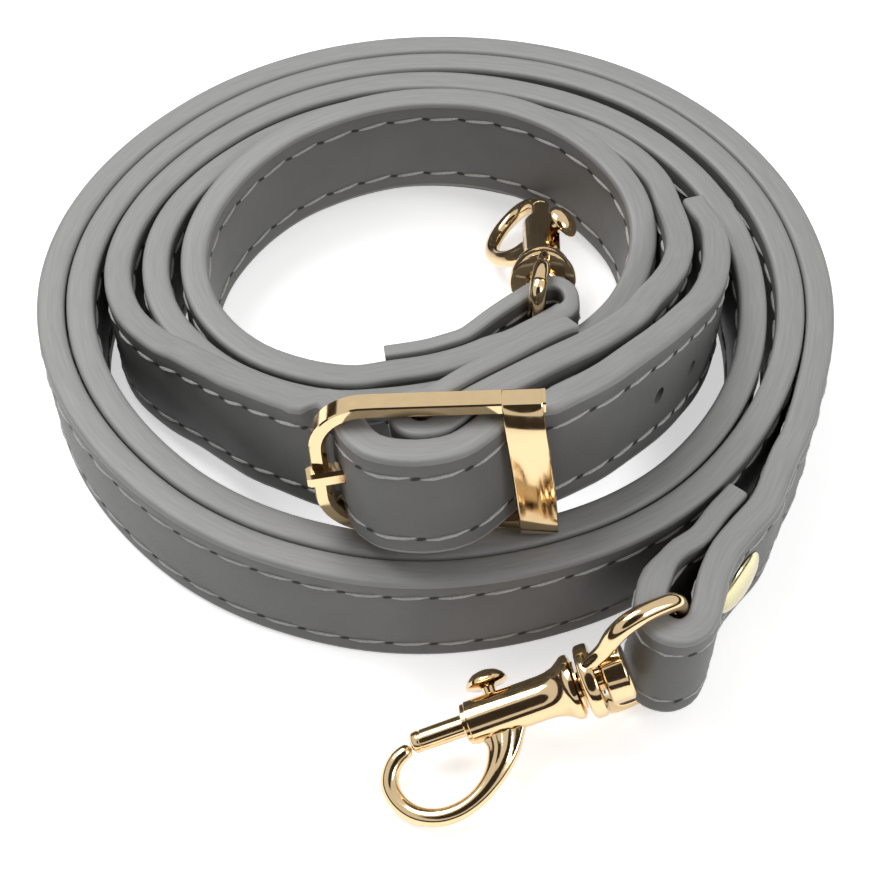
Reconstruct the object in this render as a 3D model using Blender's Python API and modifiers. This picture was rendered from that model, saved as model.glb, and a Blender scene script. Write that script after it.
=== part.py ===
"""A detachable bag strap: two leather straps joined by a buckle, with a swivel snap hook at each end,
coiled up the way it lies on a table. Metres, +Z up. The coil stands on edge on the plane z = 0, and the
origin is under the middle of its outline."""
import math

import bmesh
import bpy
import numpy as np
from mathutils import Matrix, Vector

mm = 0.001

# The two straps
strap_width = 12.0 * mm
strap_thickness = 2.38 * mm
turn_gap = 0.45 * mm
sewn_gap = 0.6 * mm
edge_round = 0.45 * mm
fit_gap = 0.3 * mm
fold_gap = 0.45 * mm
seat_gap = 0.51 * mm
weld_gap = 0.001 * mm
front_tail_thickness = 1.75 * mm
rear_tail_thickness = 1.3 * mm
rear_room_thickness = 2.0 * mm
fold_thickness = 1.5 * mm
tip_thickness = 2.1 * mm
punched_hole = 1.6 * mm

# The coil's plan is laid out on a grid of this step
plan_step = 10.0 * mm
sections_a_turn = 36

# The buckle: a flat frame with its centre bar and keeper cast on, and a prong
frame_length = 20.0 * mm
frame_depth = 1.7 * mm
rail_height = 1.4 * mm
end_width = 1.5 * mm
end_corner = 4.4 * mm
inner_corner = 1.0 * mm
keeper_corner = 1.0 * mm
frame_bevel = 0.4 * mm
bar_radius = 0.6 * mm
keeper_width = 3.2 * mm
keeper_wall = 0.65 * mm
keeper_rise = 1.0 * mm
prong_radius = 0.72 * mm
sleeve_wall = 0.6 * mm
sleeve_height = 2.0 * mm
buckle_roll = 3.0
buckle_lean = 5.0

# The snap hooks, alike at both ends
barrel_radius = 1.85 * mm
barrel_bore = 1.3 * mm
barrel_length = 8.25 * mm
barrel_chamfer = 0.25 * mm
flare_radius = 2.5 * mm
flare_length = 0.9 * mm
cone_length = 1.3 * mm
hook_loop_radius = 4.2 * mm
hook_wire = 0.76 * mm
bolt_radius = 0.95 * mm
bolt_reach = 4.8 * mm
trigger_travel = 3.0 * mm
knob_radius = 1.8 * mm
knob_height = 0.75 * mm
stem_radius = 0.4 * mm
stem_back = 2.8 * mm
spring_wire = 0.15 * mm
spring_radius = 0.8 * mm
spring_turns = 4
post_radius = 0.85 * mm
collar_radius = 3.0 * mm
collar_half = 0.5 * mm
eye_wire = 0.75 * mm
arm_rise = 0.1 * mm
head_chamfer_share = 0.18
post_seat = 2.1 * mm

# The rivet through the front end
rivet_radius = 3.2 * mm
rivet_rise = 1.1 * mm
rivet_back_rise = 0.35 * mm
rivet_back_radius = 2.1 * mm
rivet_shank = 0.8 * mm

round_steps = 24
small_steps = 16
corner_steps = 4
loop_steps = 13
spring_steps = 10
dome_steps = 5
section_step = 2.4 * mm
most_bend = 23
fold_steps = 6
fold_start_angle = 75
fold_turn_angle = 210
edge_angle = 60
sharp_angle = 40
sample_count = 7

# Where the buckle strap thins for the rear room, and where its sewn tail begins, as running angles
thin_angle = 1025
sewn_angle = 1015
sewn_points = 6

# The hook's loop: its middle ahead of the barrel's end and beside the axis, and its ends round it
loop_ahead = 3.55 * mm
loop_offset = 3.4 * mm
nib_angle = -55
loop_end_angle = 180
root_shares = [(-1.46, 1.24), (-2.85, 0.26), (-5.07, -0.08)]
stem_show = 0.7 * mm
bolt_tail = 0.15 * mm
knob_dome_shares = [(0, 1), (0.5, 0.9), (0.85, 0.65), (1, 0.35), (0.85, 0)]
eye_arm_shares = [(0.22, 0.45), (0.30, 0.90), (0.55, 1.0)]
eye_corner_shares = [(2, 0), (0.55, 0.55), (0, 2)]
prong_tip_shares = (-1.02, -0.105)
hole_angles = (316, 331, 346)

# The coil's outline: its outer radius at every eighth of a turn, from +X, in plan steps
ring_shares = [3.86, 3.745, 3.58, 3.66, 3.86, 3.69, 3.57, 3.80]
ring_centre_share = 0.895

# Turns of the long strap: running angle, inset from the outline in pitches, rise in strap widths
long_turn_shares = [(326, -0.4, 0), (337, -0.08, 0), (350, 0, 0), (620, 0, 0), (656, 0.55, 0), (694, 1, 0),
                    (720, 1, 0), (980, 1, 0), (1015, 1.55, 0), (1050, 2.05, 0), (1080, 2.3, 0),
                    (1140, 2.3, 0), (1180, 2.02, 0), (1240, 2.02, 0), (1252, 2.08, 0), (1262, 2.3, 0.01),
                    (1272, 2.75, 0.06), (1282, 3.35, 0.145), (1292, 3.72, 0.29), (1302, 3.74, 0.445),
                    (1310, 3.53, 0.58)]

# The long strap's tip, past the buckle: running angle, inset, rise, and lean in degrees
tip_turn_shares = [(300, 2.9, 1.17, 5), (308, 3.4, 1.08, 5), (317, 3.75, 0.93, 5), (328, 4.05, 0.71, 3),
                   (340, 4.02, 0.49, 1), (352, 3.82, 0.33, 0), (363, 3.55, 0.22, 0), (373, 3.38, 0.14, 0),
                   (378, 3.36, 0.11, 0)]

# Turns of the buckle strap: running angle, outer radius in plan steps, rise in strap widths
short_turn_shares = [(303, 2.465, 1.092), (306, 2.44, 1.06), (312, 2.40, 0.98), (320, 2.35, 0.86),
                     (333, 2.30, 0.67), (347, 2.36, 0.47), (356, 2.43, 0.34), (365, 2.50, 0.24),
                     (373, 2.56, 0.16), (380, 2.62, 0.09), (388, 2.72, 0.03), (396, 2.79, 0),
                     (404, 2.80, 0), (430, 2.68, 0), (458, 2.69, 0), (471, 2.70, 0),
                     (490, 2.76, 0), (500, 2.80, 0), (510, 2.855, 0), (525, 2.92, 0), (535, 2.89, 0),
                     (543, 2.82, 0), (552, 2.71, 0), (557, 2.62, 0), (564, 2.50, 0), (571, 2.38, 0),
                     (578, 2.25, 0), (586, 2.11, 0), (597, 1.94, 0), (612, 1.71, 0), (624, 1.59, 0),
                     (636, 1.52, 0), (647, 1.49, 0), (659, 1.50, 0), (670, 1.53, 0), (677, 1.58, 0),
                     (686, 1.66, 0), (696, 1.76, 0), (705, 1.88, 0), (715, 2.01, 0), (725, 2.14, 0.01),
                     (734, 2.26, 0.04), (741, 2.33, 0.07), (748, 2.38, 0.11), (758, 2.40, 0.16),
                     (772, 2.405, 0.22), (785, 2.40, 0.26), (810, 2.38, 0.26), (831, 2.39, 0.25),
                     (856, 2.49, 0.17), (871, 2.54, 0.08), (884, 2.56, 0.03), (895, 2.50, 0),
                     (904, 2.43, 0), (914, 2.30, 0), (924, 2.15, 0), (931, 2.03, 0), (938, 1.90, 0),
                     (946, 1.76, 0), (957, 1.60, 0), (972, 1.37, 0.01), (984, 1.28, 0.03),
                     (996, 1.23, 0.04), (1007, 1.205, 0.06), (1019, 1.21, 0.08), (1030, 1.235, 0.09),
                     (1036, 1.265, 0.10), (1045, 1.34, 0.12), (1052, 1.405, 0.14), (1058, 1.475, 0.15)]

# Plan places in plan steps, with the rise in strap widths
front_leg_shares = [(2.92, -1.80, 0.01), (2.70, -2.08, 0.04), (2.495, -2.36, 0.08), (2.355, -2.68, 0.12)]
front_room_shares = [(2.28, -2.96, 0.155), (2.18, -3.15, 0.155), (2.04, -3.225, 0.155),
                     (1.89, -3.18, 0.155), (1.81, -3.05, 0.155), (1.815, -2.86, 0.155),
                     (1.87, -2.68, 0.14), (1.96, -2.52, 0.12), (2.08, -2.37, 0.10)]
rear_room_shares = [(1.30, 0.495, 0.155), (1.26, 0.605, 0.155), (1.16, 0.665, 0.16),
                    (1.03, 0.65, 0.16), (0.867, 0.549, 0.16), (0.70, 0.43, 0.15), (0.54, 0.305, 0.12),
                    (0.40, 0.185, 0.08)]
front_tail_length = 6.2 * mm
rear_tail_length = 7.4 * mm

# In the buckle's own frame: along it and towards its back in half frame lengths, and up in strap widths
bulge_shares = [(-0.96, 0.37, -0.13), (-0.79, 0.29, -0.035), (-0.665, 0.075, 0.002), (-0.575, -0.13, 0),
                (-0.43, -0.29, 0), (-0.20, -0.355, 0), (0.02, -0.355, 0), (0.25, -0.29, 0),
                (0.46, -0.12, 0), (0.61, 0.035, 0), (0.72, 0.11, 0), (0.95, 0.15, 0), (1.10, 0.24, 0)]
buckle_centre_shares = (-0.03, -2.005)
bar_place_shares = (-0.057, 0.06)
fold_ply_shares = [(0.11, -0.06, 0), (0.27, 0.115, 0), (0.49, 0.285, 0), (0.79, 0.505, -0.01),
                   (1.00, 0.68, -0.035)]
fold_ply_length = 13.0 * mm

pitch = strap_thickness + turn_gap
sleeve_radius = bar_radius + fit_gap + sleeve_wall
barrel_end = collar_half + fit_gap + flare_length + cone_length + barrel_length
stem_place = barrel_end - stem_back
post_top = collar_half + fit_gap + post_seat

# Each hook: its collar's middle, the way to its tip, the way its loop hangs, the radius and length of
# the post's head, the place of the eye's bar in plan, and how high the strap's loop stands
hooks = {
    "front": ((13.15 * mm, -33.45 * mm, 7.5 * mm), (-0.933, -0.215, -0.289), (0, -0.95, -0.31),
              (2.55 * mm, 2.7 * mm), (20.4 * mm, -29.7 * mm, 0), 1.86 * mm),
    "rear": ((10.6 * mm, 9.45 * mm, 11.0 * mm), (0.035, 0.948, -0.317), (-0.71, 0, -0.70),
             (1.6 * mm, 0.7 * mm), (9.7 * mm, 4.05 * mm, 0), 1.92 * mm),
}
ring_centre = Vector((0, ring_centre_share * plan_step))


def new_collection(name):
    """A collection of that name in the scene."""
    collection = bpy.data.collections.new(name)
    bpy.context.scene.collection.children.link(collection)
    return collection


def material(name, colour, roughness, metallic):
    """A Principled material of one colour."""
    made = bpy.data.materials.new(name)
    made.use_nodes = True
    shader = made.node_tree.nodes["Principled BSDF"]
    shader.inputs["Base Color"].default_value = (*colour, 1)
    shader.inputs["Roughness"].default_value = roughness
    shader.inputs["Metallic"].default_value = metallic
    made.diffuse_color = (*colour, 1)
    return made


def add_object(name, mesh, collection, place=None, surface=None):
    """A named object for the mesh, at its place and in its collection."""
    made = bpy.data.objects.new(name, mesh)
    collection.objects.link(made)
    if place is not None:
        made.matrix_world = place
    if surface is not None:
        mesh.materials.clear()
        mesh.materials.append(surface)
    return made


def as_tool(made):
    """Marks an object as a cutter or guide."""
    made.hide_render = True
    made.display_type = "WIRE"
    return made


def boolean(target, tool, operation):
    """A Boolean modifier on the target."""
    modifier = target.modifiers.new(operation.lower(), "BOOLEAN")
    modifier.operation = operation
    modifier.object = as_tool(tool)


def finished_mesh(made):
    """The mesh an object shows once its modifiers have run."""
    bpy.context.view_layer.update()
    return bpy.data.meshes.new_from_object(made.evaluated_get(bpy.context.evaluated_depsgraph_get()))


def smooth_round(made):
    """Round faces shaded smooth, with sharp edges kept."""
    made.data.shade_smooth()
    made.data.set_sharp_from_angle(angle=math.radians(sharp_angle))


def box_mesh(name, size):
    """A box about its own middle."""
    shape = bmesh.new()
    bmesh.ops.create_cube(shape, size=1)
    bmesh.ops.scale(shape, vec=Vector(size), verts=shape.verts)
    mesh = bpy.data.meshes.new(name)
    shape.to_mesh(mesh)
    shape.free()
    return mesh


def rod_mesh(name, radius, length, steps=small_steps):
    """A cylinder that runs from the origin along +Z."""
    shape = bmesh.new()
    bmesh.ops.create_cone(shape, cap_ends=True, segments=steps, radius1=radius, radius2=radius, depth=length,
                          matrix=Matrix.Translation((0, 0, length / 2)))
    mesh = bpy.data.meshes.new(name)
    shape.to_mesh(mesh)
    shape.free()
    return mesh


def turned(name, profile, collection, place, surface=None, steps=round_steps):
    """A turned piece about its own Z. The profile's (radius, height) pairs run down its outer side."""
    mesh = bpy.data.meshes.new(name)
    points = [(radius, 0, height) for radius, height in profile]
    links = [(i, i + 1) for i in range(len(points) - 1)]
    if profile[0][0] > 0:
        links.append((len(points) - 1, 0))
    mesh.from_pydata(points, links, [])
    made = add_object(name, mesh, collection, place, surface)
    screw = made.modifiers.new("turn", "SCREW")
    screw.steps = steps
    screw.render_steps = steps
    screw.use_merge_vertices = True
    screw.merge_threshold = weld_gap
    screw.use_smooth_shade = True
    return made


def ring_profile(inner, outer, bottom, top, chamfer):
    """A washer's closed profile with chamfered outer corners."""
    return [(inner, top), (outer - chamfer, top), (outer, top - chamfer), (outer, bottom + chamfer),
            (outer - chamfer, bottom), (inner, bottom)]


def wire(name, points, radius, collection, place, surface=None, resolution=2):
    """A round wire along the points, made a closed mesh with welded caps."""
    curve = bpy.data.curves.new(name, "CURVE")
    curve.dimensions = "3D"
    curve.bevel_depth = radius
    curve.bevel_resolution = resolution
    curve.use_fill_caps = True
    spline = curve.splines.new("POLY")
    spline.points.add(len(points) - 1)
    for spot, point in zip(spline.points, points):
        spot.co = (*point, 1)
    guide = add_object(name + "_curve", curve, collection)
    mesh = finished_mesh(guide)
    mesh.name = name
    shape = bmesh.new()
    shape.from_mesh(mesh)
    bmesh.ops.remove_doubles(shape, verts=shape.verts, dist=weld_gap)
    shape.to_mesh(mesh)
    shape.free()
    made = add_object(name, mesh, collection, guide.matrix_world @ place, surface)
    bpy.data.objects.remove(guide)
    smooth_round(made)
    return made


def frame_of(place, along, side):
    """A matrix at the place with its Z along one direction and its X towards the other."""
    z = Vector(along).normalized()
    x = (Vector(side) - Vector(side).dot(z) * z).normalized()
    y = z.cross(x)
    matrix = Matrix((x, y, z)).transposed().to_4x4()
    matrix.translation = place
    return matrix


def ring_radius(angle):
    """The outline's radius, smoothly between its eight directions."""
    count = len(ring_shares)
    at = (angle % 360) / (360 / count)
    first = int(at)
    t = at - first
    a, b, c, d = (ring_shares[(first + k) % count] for k in (-1, 0, 1, 2))
    share = 0.5 * (2 * b + (c - a) * t + (2 * a - 5 * b + 4 * c - d) * t ** 2 + (3 * b - a - 3 * c + d) * t ** 3)
    return share * plan_step


def slope(rows, k, column):
    """A slope at row k that keeps the curve through the rows free of overshoot."""
    if k in (0, len(rows) - 1):
        return 0
    before = rows[k][0] - rows[k - 1][0]
    after = rows[k + 1][0] - rows[k][0]
    rise_before = (rows[k][column] - rows[k - 1][column]) / before
    rise_after = (rows[k + 1][column] - rows[k][column]) / after
    if rise_before * rise_after <= 0:
        return 0
    weight = 2 * after + before
    other = after + 2 * before
    return (weight + other) / (weight / rise_before + other / rise_after)


def between(rows, angle, column):
    """A column's value at an angle, along a smooth curve through the rows."""
    k = max(i for i in range(len(rows) - 1) if rows[i][0] <= angle or i == 0)
    span = rows[k + 1][0] - rows[k][0]
    t = min(max((angle - rows[k][0]) / span, 0), 1)
    here = slope(rows, k, column) * span
    there = slope(rows, k + 1, column) * span
    return ((2 * t ** 3 - 3 * t ** 2 + 1) * rows[k][column] + (t ** 3 - 2 * t ** 2 + t) * here
            + (3 * t ** 2 - 2 * t ** 3) * rows[k + 1][column] + (t ** 3 - t ** 2) * there)


def on_ring(angle, radius, rise, lean, thickness):
    """A route point: plan place, middle height, lean as a slope of the stand, and thickness."""
    out = Vector((math.cos(math.radians(angle)), math.sin(math.radians(angle))))
    place = ring_centre + out * (radius - thickness / 2)
    stand = -out * math.tan(math.radians(lean))
    return (place.x, place.y, (rise + 0.5) * strap_width, stand.x, stand.y, thickness)


def angles(start, end):
    """Running angles for a strap's sections, at the same whole steps on every turn."""
    step = 360 / sections_a_turn
    inner = [k * step for k in range(math.ceil(start / step + 0.3), math.floor(end / step - 0.3) + 1)]
    return [start] + inner + [end]


def plan_points(shares, thickness):
    """Route points from places on the plan's grid."""
    return [(x * plan_step, y * plan_step, (rise + 0.5) * strap_width, 0, 0, thickness)
            for x, y, rise in shares]


def beside(points, count, length, side, thickness):
    """A tail sewn against the strap: the points' neighbours at one pitch to the side, up to a length."""
    made = []
    run = 0
    for k in range(count):
        here = Vector(points[k][:2])
        ahead = (Vector(points[k + 1][:2]) - Vector(points[max(k - 1, 0)][:2])).normalized()
        across = Vector((-ahead.y, ahead.x)) * side
        offset = points[k][5] / 2 + sewn_gap + thickness / 2
        spot = here + across * offset
        if made:
            step = (spot - Vector(made[-1][:2])).length
            if run + step > length:
                goal = (spot.x, spot.y, *points[k][2:5], thickness)
                share = (length - run) / step
                made.append(tuple(a + (b - a) * share for a, b in zip(made[-1], goal)))
                break
            run += step
        made.append((spot.x, spot.y, *points[k][2:5], thickness))
    return made


def blend(low, high, start, end, t):
    """The row at t on the straight line from one row at the start to another at the end."""
    return low + (high - low) * ((t - start) / (end - start))


def smoothed(points, longest):
    """The points joined by a centripetal curve, cut finer where it is long or bends."""
    rows = [np.array(point, float) for point in points]
    rows = [2 * rows[0] - rows[1]] + rows + [2 * rows[-1] - rows[-2]]
    made = []
    for k in range(1, len(rows) - 2):
        a, b, c, d = rows[k - 1:k + 3]
        first, span, last = (Vector(step[:3]) for step in (b - a, c - b, d - c))
        cuts = max(1, math.ceil(span.length / longest), math.ceil(math.degrees(first.angle(last)) / most_bend))
        knots = np.cumsum([0, math.sqrt(first.length), math.sqrt(span.length), math.sqrt(last.length)])
        for cut in range(cuts):
            t = knots[1] + (knots[2] - knots[1]) * cut / cuts
            low = blend(a, b, knots[0], knots[1], t)
            middle = blend(b, c, knots[1], knots[2], t)
            high = blend(c, d, knots[2], knots[3], t)
            before = blend(low, middle, knots[0], knots[2], t)
            after = blend(middle, high, knots[1], knots[3], t)
            made.append(blend(before, after, knots[1], knots[2], t))
    made.append(rows[-2])
    return made


def strap_band(name, route, collection, surface):
    """One unbroken strap along its route: an open strip with Solidify and rounded edges."""
    count = len(route)
    shape = bmesh.new()
    bmesh.ops.create_grid(shape, x_segments=count - 1, y_segments=1, size=1)
    weights = {}
    for vertex in shape.verts:
        k = round((vertex.co.x + 1) / 2 * (count - 1))
        upper = vertex.co.y > 0
        vertex.co = strap_edges(route, k)[1 if upper else 0]
        weights[vertex.index] = route[k][5] / strap_thickness
    mesh = bpy.data.meshes.new(name)
    shape.verts.index_update()
    shape.to_mesh(mesh)
    shape.free()
    band = add_object(name, mesh, collection, surface=surface)
    group = band.vertex_groups.new(name="thickness")
    for index, weight in weights.items():
        group.add([index], min(weight, 1), "REPLACE")
    solid = band.modifiers.new("thickness", "SOLIDIFY")
    solid.thickness = strap_thickness
    solid.offset = 0
    solid.use_even_offset = True
    solid.vertex_group = group.name
    rounding = band.modifiers.new("edges", "BEVEL")
    rounding.width = edge_round
    rounding.segments = 1
    rounding.limit_method = "ANGLE"
    rounding.angle_limit = math.radians(edge_angle)
    rounding.use_clamp_overlap = False
    mesh.shade_smooth()
    mesh.set_sharp_from_angle(angle=math.radians(sharp_angle))
    return band


def strap_edges(route, k):
    """The lower and upper edge of the strap's middle sheet at one section."""
    spot = Vector(route[k][:3])
    along = Vector(route[min(k + 1, len(route) - 1)][:3]) - Vector(route[max(k - 1, 0)][:3])
    along.normalize()
    stand = Vector((route[k][3], route[k][4], 1))
    up = (stand - stand.dot(along) * along).normalized() * (strap_width / 2)
    return spot - up, spot + up


def strap_faces(route, k, heights):
    """Points on both faces of the strap at one section, from its lower edge to its upper."""
    low, high = strap_edges(route, k)
    along = Vector(route[min(k + 1, len(route) - 1)][:3]) - Vector(route[max(k - 1, 0)][:3])
    across = along.cross(high - low).normalized() * (route[k][5] / 2)
    middle = [low.lerp(high, height / (heights - 1)) for height in range(heights)]
    return [tuple(spot + across * side) for side in (-1, 1) for spot in middle]


def least_gap(route):
    """The least clear distance between parts of one winding, measured on points of its two faces."""
    rails = np.array([strap_faces(route, k, sample_count) for k in range(len(route))])
    middles = rails.mean(axis=1)
    steps = np.linalg.norm(np.diff(middles, axis=0), axis=1)
    run = np.concatenate([[0], np.cumsum(steps)])
    least = math.inf
    for k in range(len(route)):
        far = np.abs((run[:-1] + run[1:]) / 2 - run[k]) - steps / 2 > 2 * strap_thickness
        start = rails[:-1][far]
        span = rails[1:][far] - start
        for spot in rails[k]:
            share = np.clip(((spot - start) * span).sum(2) / (span ** 2).sum(2), 0, 1)
            least = min(least, np.linalg.norm(start + span * share[:, :, None] - spot, axis=2).min())
    return least


# The buckle's frame: its bottom left corner rests on the turn under it
roll = math.radians(buckle_roll)
lean_back = math.radians(buckle_lean)
opening_height = strap_width + 3 * fit_gap
frame_height = opening_height + 2 * rail_height
buckle_up = Vector((-math.sin(roll), math.sin(lean_back), math.cos(roll) * math.cos(lean_back))).normalized()
buckle_right = Vector((math.cos(roll), 0, math.sin(roll)))
buckle_back = buckle_up.cross(buckle_right)
buckle_rise = strap_width + fit_gap / 2 + math.sin(roll) * frame_length / 2 + buckle_up.z * frame_height / 2
buckle_centre = Vector((buckle_centre_shares[0] * plan_step, buckle_centre_shares[1] * plan_step, buckle_rise))
buckle_place = Matrix((buckle_right, buckle_back, buckle_up)).transposed().to_4x4()
buckle_place.translation = buckle_centre
bar_place = Vector((*bar_place_shares, 0)) * (frame_length / 2)


def in_buckle(along, back, thickness, up=0):
    """A route point given in the buckle's frame, standing along its upright."""
    spot = buckle_place @ Vector((along, back, up))
    return (spot.x, spot.y, spot.z, buckle_up.x / buckle_up.z, buckle_up.y / buckle_up.z, thickness)


def long_route():
    """The long strap: its tail, the room for the front eye, three turns, the bulge and the tip."""
    turns = [on_ring(a, ring_radius(a) - pitch * between(long_turn_shares, a, 1),
                     between(long_turn_shares, a, 2), 0, strap_thickness)
             for a in angles(long_turn_shares[0][0], long_turn_shares[-1][0])]
    leg = plan_points(front_leg_shares, strap_thickness)
    room = plan_points(front_room_shares, strap_thickness)
    outward = [turns[1], turns[0]] + leg[:3]
    tail = beside(outward[::-1], len(outward) - 1, front_tail_length, 1, front_tail_thickness)
    thinning = [point[:5] + (front_tail_thickness,) for point in room[-2:]]
    start = tail[::-1] + (room[:-2] + thinning)[::-1] + leg[::-1]
    half = frame_length / 2
    bulge = [in_buckle(x * half, y * half, strap_thickness, up * strap_width) for x, y, up in bulge_shares]
    tip = []
    for a in angles(tip_turn_shares[0][0], tip_turn_shares[-1][0]):
        thickness = tip_thickness if a > tip_turn_shares[-3][0] else strap_thickness
        tip.append(on_ring(a, ring_radius(a) - pitch * between(tip_turn_shares, a, 1),
                           between(tip_turn_shares, a, 2), between(tip_turn_shares, a, 3), thickness))
    return start + turns + bulge + tip


def short_route():
    """The buckle strap: the short ply, the fold round the bar, two turns, the rear eye's room, the tail."""
    ply = fold_thickness
    radius = bar_radius + fold_gap + ply / 2
    fold = []
    for k in range(fold_steps + 1):
        angle = math.radians(fold_start_angle + k * fold_turn_angle / fold_steps)
        fold.append(in_buckle(bar_place.x + radius * math.cos(angle), bar_place.y + radius * math.sin(angle), ply))
    half = frame_length / 2
    front = [in_buckle(x * half, y * half, strap_thickness, up * strap_width) for x, y, up in fold_ply_shares]
    front[0] = front[0][:5] + ((ply + strap_thickness) / 2,)
    rows = short_turn_shares
    turns = []
    for a in angles(rows[0][0], rows[-1][0]):
        thickness = strap_thickness if a < thin_angle else rear_room_thickness
        turns.append(on_ring(a, between(rows, a, 1) * plan_step, between(rows, a, 2), 0, thickness))
    room = plan_points(rear_room_shares, rear_tail_thickness)
    sewn = [k for k, a in enumerate(angles(rows[0][0], rows[-1][0])) if a < sewn_angle]
    tail = beside(turns[sewn[-1]::-1], sewn_points, rear_tail_length, -1, rear_tail_thickness)
    back = beside(front[1:] + turns, len(front) + sewn_points, fold_ply_length, 1, ply)
    return back[::-1] + fold + front + turns + room + tail


def cut_hole(strap, place, radius, length, tools):
    """A round hole through a strap, along Z from its place."""
    rod = add_object(strap.name + "_hole", rod_mesh("hole", radius, length), tools, place)
    boolean(strap, rod, "DIFFERENCE")


def prong_frame():
    """The prong's frame: its Z runs from the bar to the tip, its X up."""
    start = buckle_place @ bar_place
    tip = buckle_place @ (Vector((*prong_tip_shares, 0)) * (frame_length / 2))
    return frame_of(start, tip - start, buckle_up), (tip - start).length


def rivet_frame():
    """The rivet's frame: its Z points out of the leg, its origin is on the leg's middle sheet."""
    ends = [Vector(point[:3]) for point in plan_points(front_leg_shares[1:3], strap_thickness)]
    along = (ends[1] - ends[0]).normalized()
    return frame_of((ends[0] + ends[1]) / 2, Vector((-along.y, along.x, 0)), (0, 0, 1))


def make_straps(parts, tools, leather):
    """Both straps, with the prong's holes, the slot in the fold and the rivet's hole."""
    long_points = smoothed(long_route(), section_step)
    short_points = smoothed(short_route(), section_step)
    print("long strap, least gap to itself in mm:", round(least_gap(long_points) / mm, 3))
    print("buckle strap, least gap to itself in mm:", round(least_gap(short_points) / mm, 3))
    long_strap = strap_band("long_strap", long_points, parts, leather)
    buckle_strap = strap_band("buckle_strap", short_points, parts, leather)

    prong, reach = prong_frame()
    inward = sleeve_radius + fit_gap + fold_thickness
    cut_hole(long_strap, prong @ Matrix.Translation((0, 0, inward)), prong_radius + fit_gap,
             reach - inward - end_width / 2, tools)
    for angle in hole_angles:
        along = on_ring(angle, ring_radius(angle) - pitch * between(tip_turn_shares, angle, 1),
                        between(tip_turn_shares, angle, 2), 0, strap_thickness)
        out = Vector((math.cos(math.radians(angle)), math.sin(math.radians(angle)), 0))
        start = Vector(along[:3]) - out * strap_thickness
        cut_hole(long_strap, frame_of(start, out, (0, 0, 1)), punched_hole / 2, 2 * strap_thickness, tools)
    rivet = rivet_frame()
    behind = strap_thickness / 2 + sewn_gap + front_tail_thickness + turn_gap
    cut_hole(long_strap, rivet @ Matrix.Translation((0, 0, -behind)), rivet_shank + fit_gap,
             behind + strap_thickness / 2 + turn_gap, tools)

    slot_length = 2 * sleeve_radius + fold_thickness + 3 * fit_gap
    slot = add_object("fold_slot", box_mesh("fold_slot", (slot_length, 2 * slot_length, sleeve_height + 2 * fit_gap)),
                      tools, buckle_place @ Matrix.Translation(bar_place - Vector((fold_thickness / 2, 0, 0))))
    boolean(buckle_strap, slot, "DIFFERENCE")


def rounded_plate(name, corners, depth):
    """A flat plate across Y: an outline of rounded corners, each given as its place and radius."""
    shape = bmesh.new()
    rim = []
    for (x, z), radius, turn in corners:
        for k in range(corner_steps + 1):
            angle = math.radians(turn + 90 * k / corner_steps)
            rim.append(shape.verts.new((x + radius * math.cos(angle), -depth / 2, z + radius * math.sin(angle))))
    face = shape.faces.new(rim)
    grown = bmesh.ops.extrude_face_region(shape, geom=[face])
    bmesh.ops.translate(shape, vec=(0, depth, 0), verts=[v for v in grown["geom"] if isinstance(v, bmesh.types.BMVert)])
    bmesh.ops.recalc_face_normals(shape, faces=shape.faces)
    mesh = bpy.data.meshes.new(name)
    shape.to_mesh(mesh)
    shape.free()
    return mesh


def outline(left, right, height, left_radius, right_radius):
    """The corners of a rounded rectangle, anticlockwise from the lower right."""
    low = -height / 2
    high = height / 2
    return [((right - right_radius, low + right_radius), right_radius, 270),
            ((right - right_radius, high - right_radius), right_radius, 0),
            ((left + left_radius, high - left_radius), left_radius, 90),
            ((left + left_radius, low + left_radius), left_radius, 180)]


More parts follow.
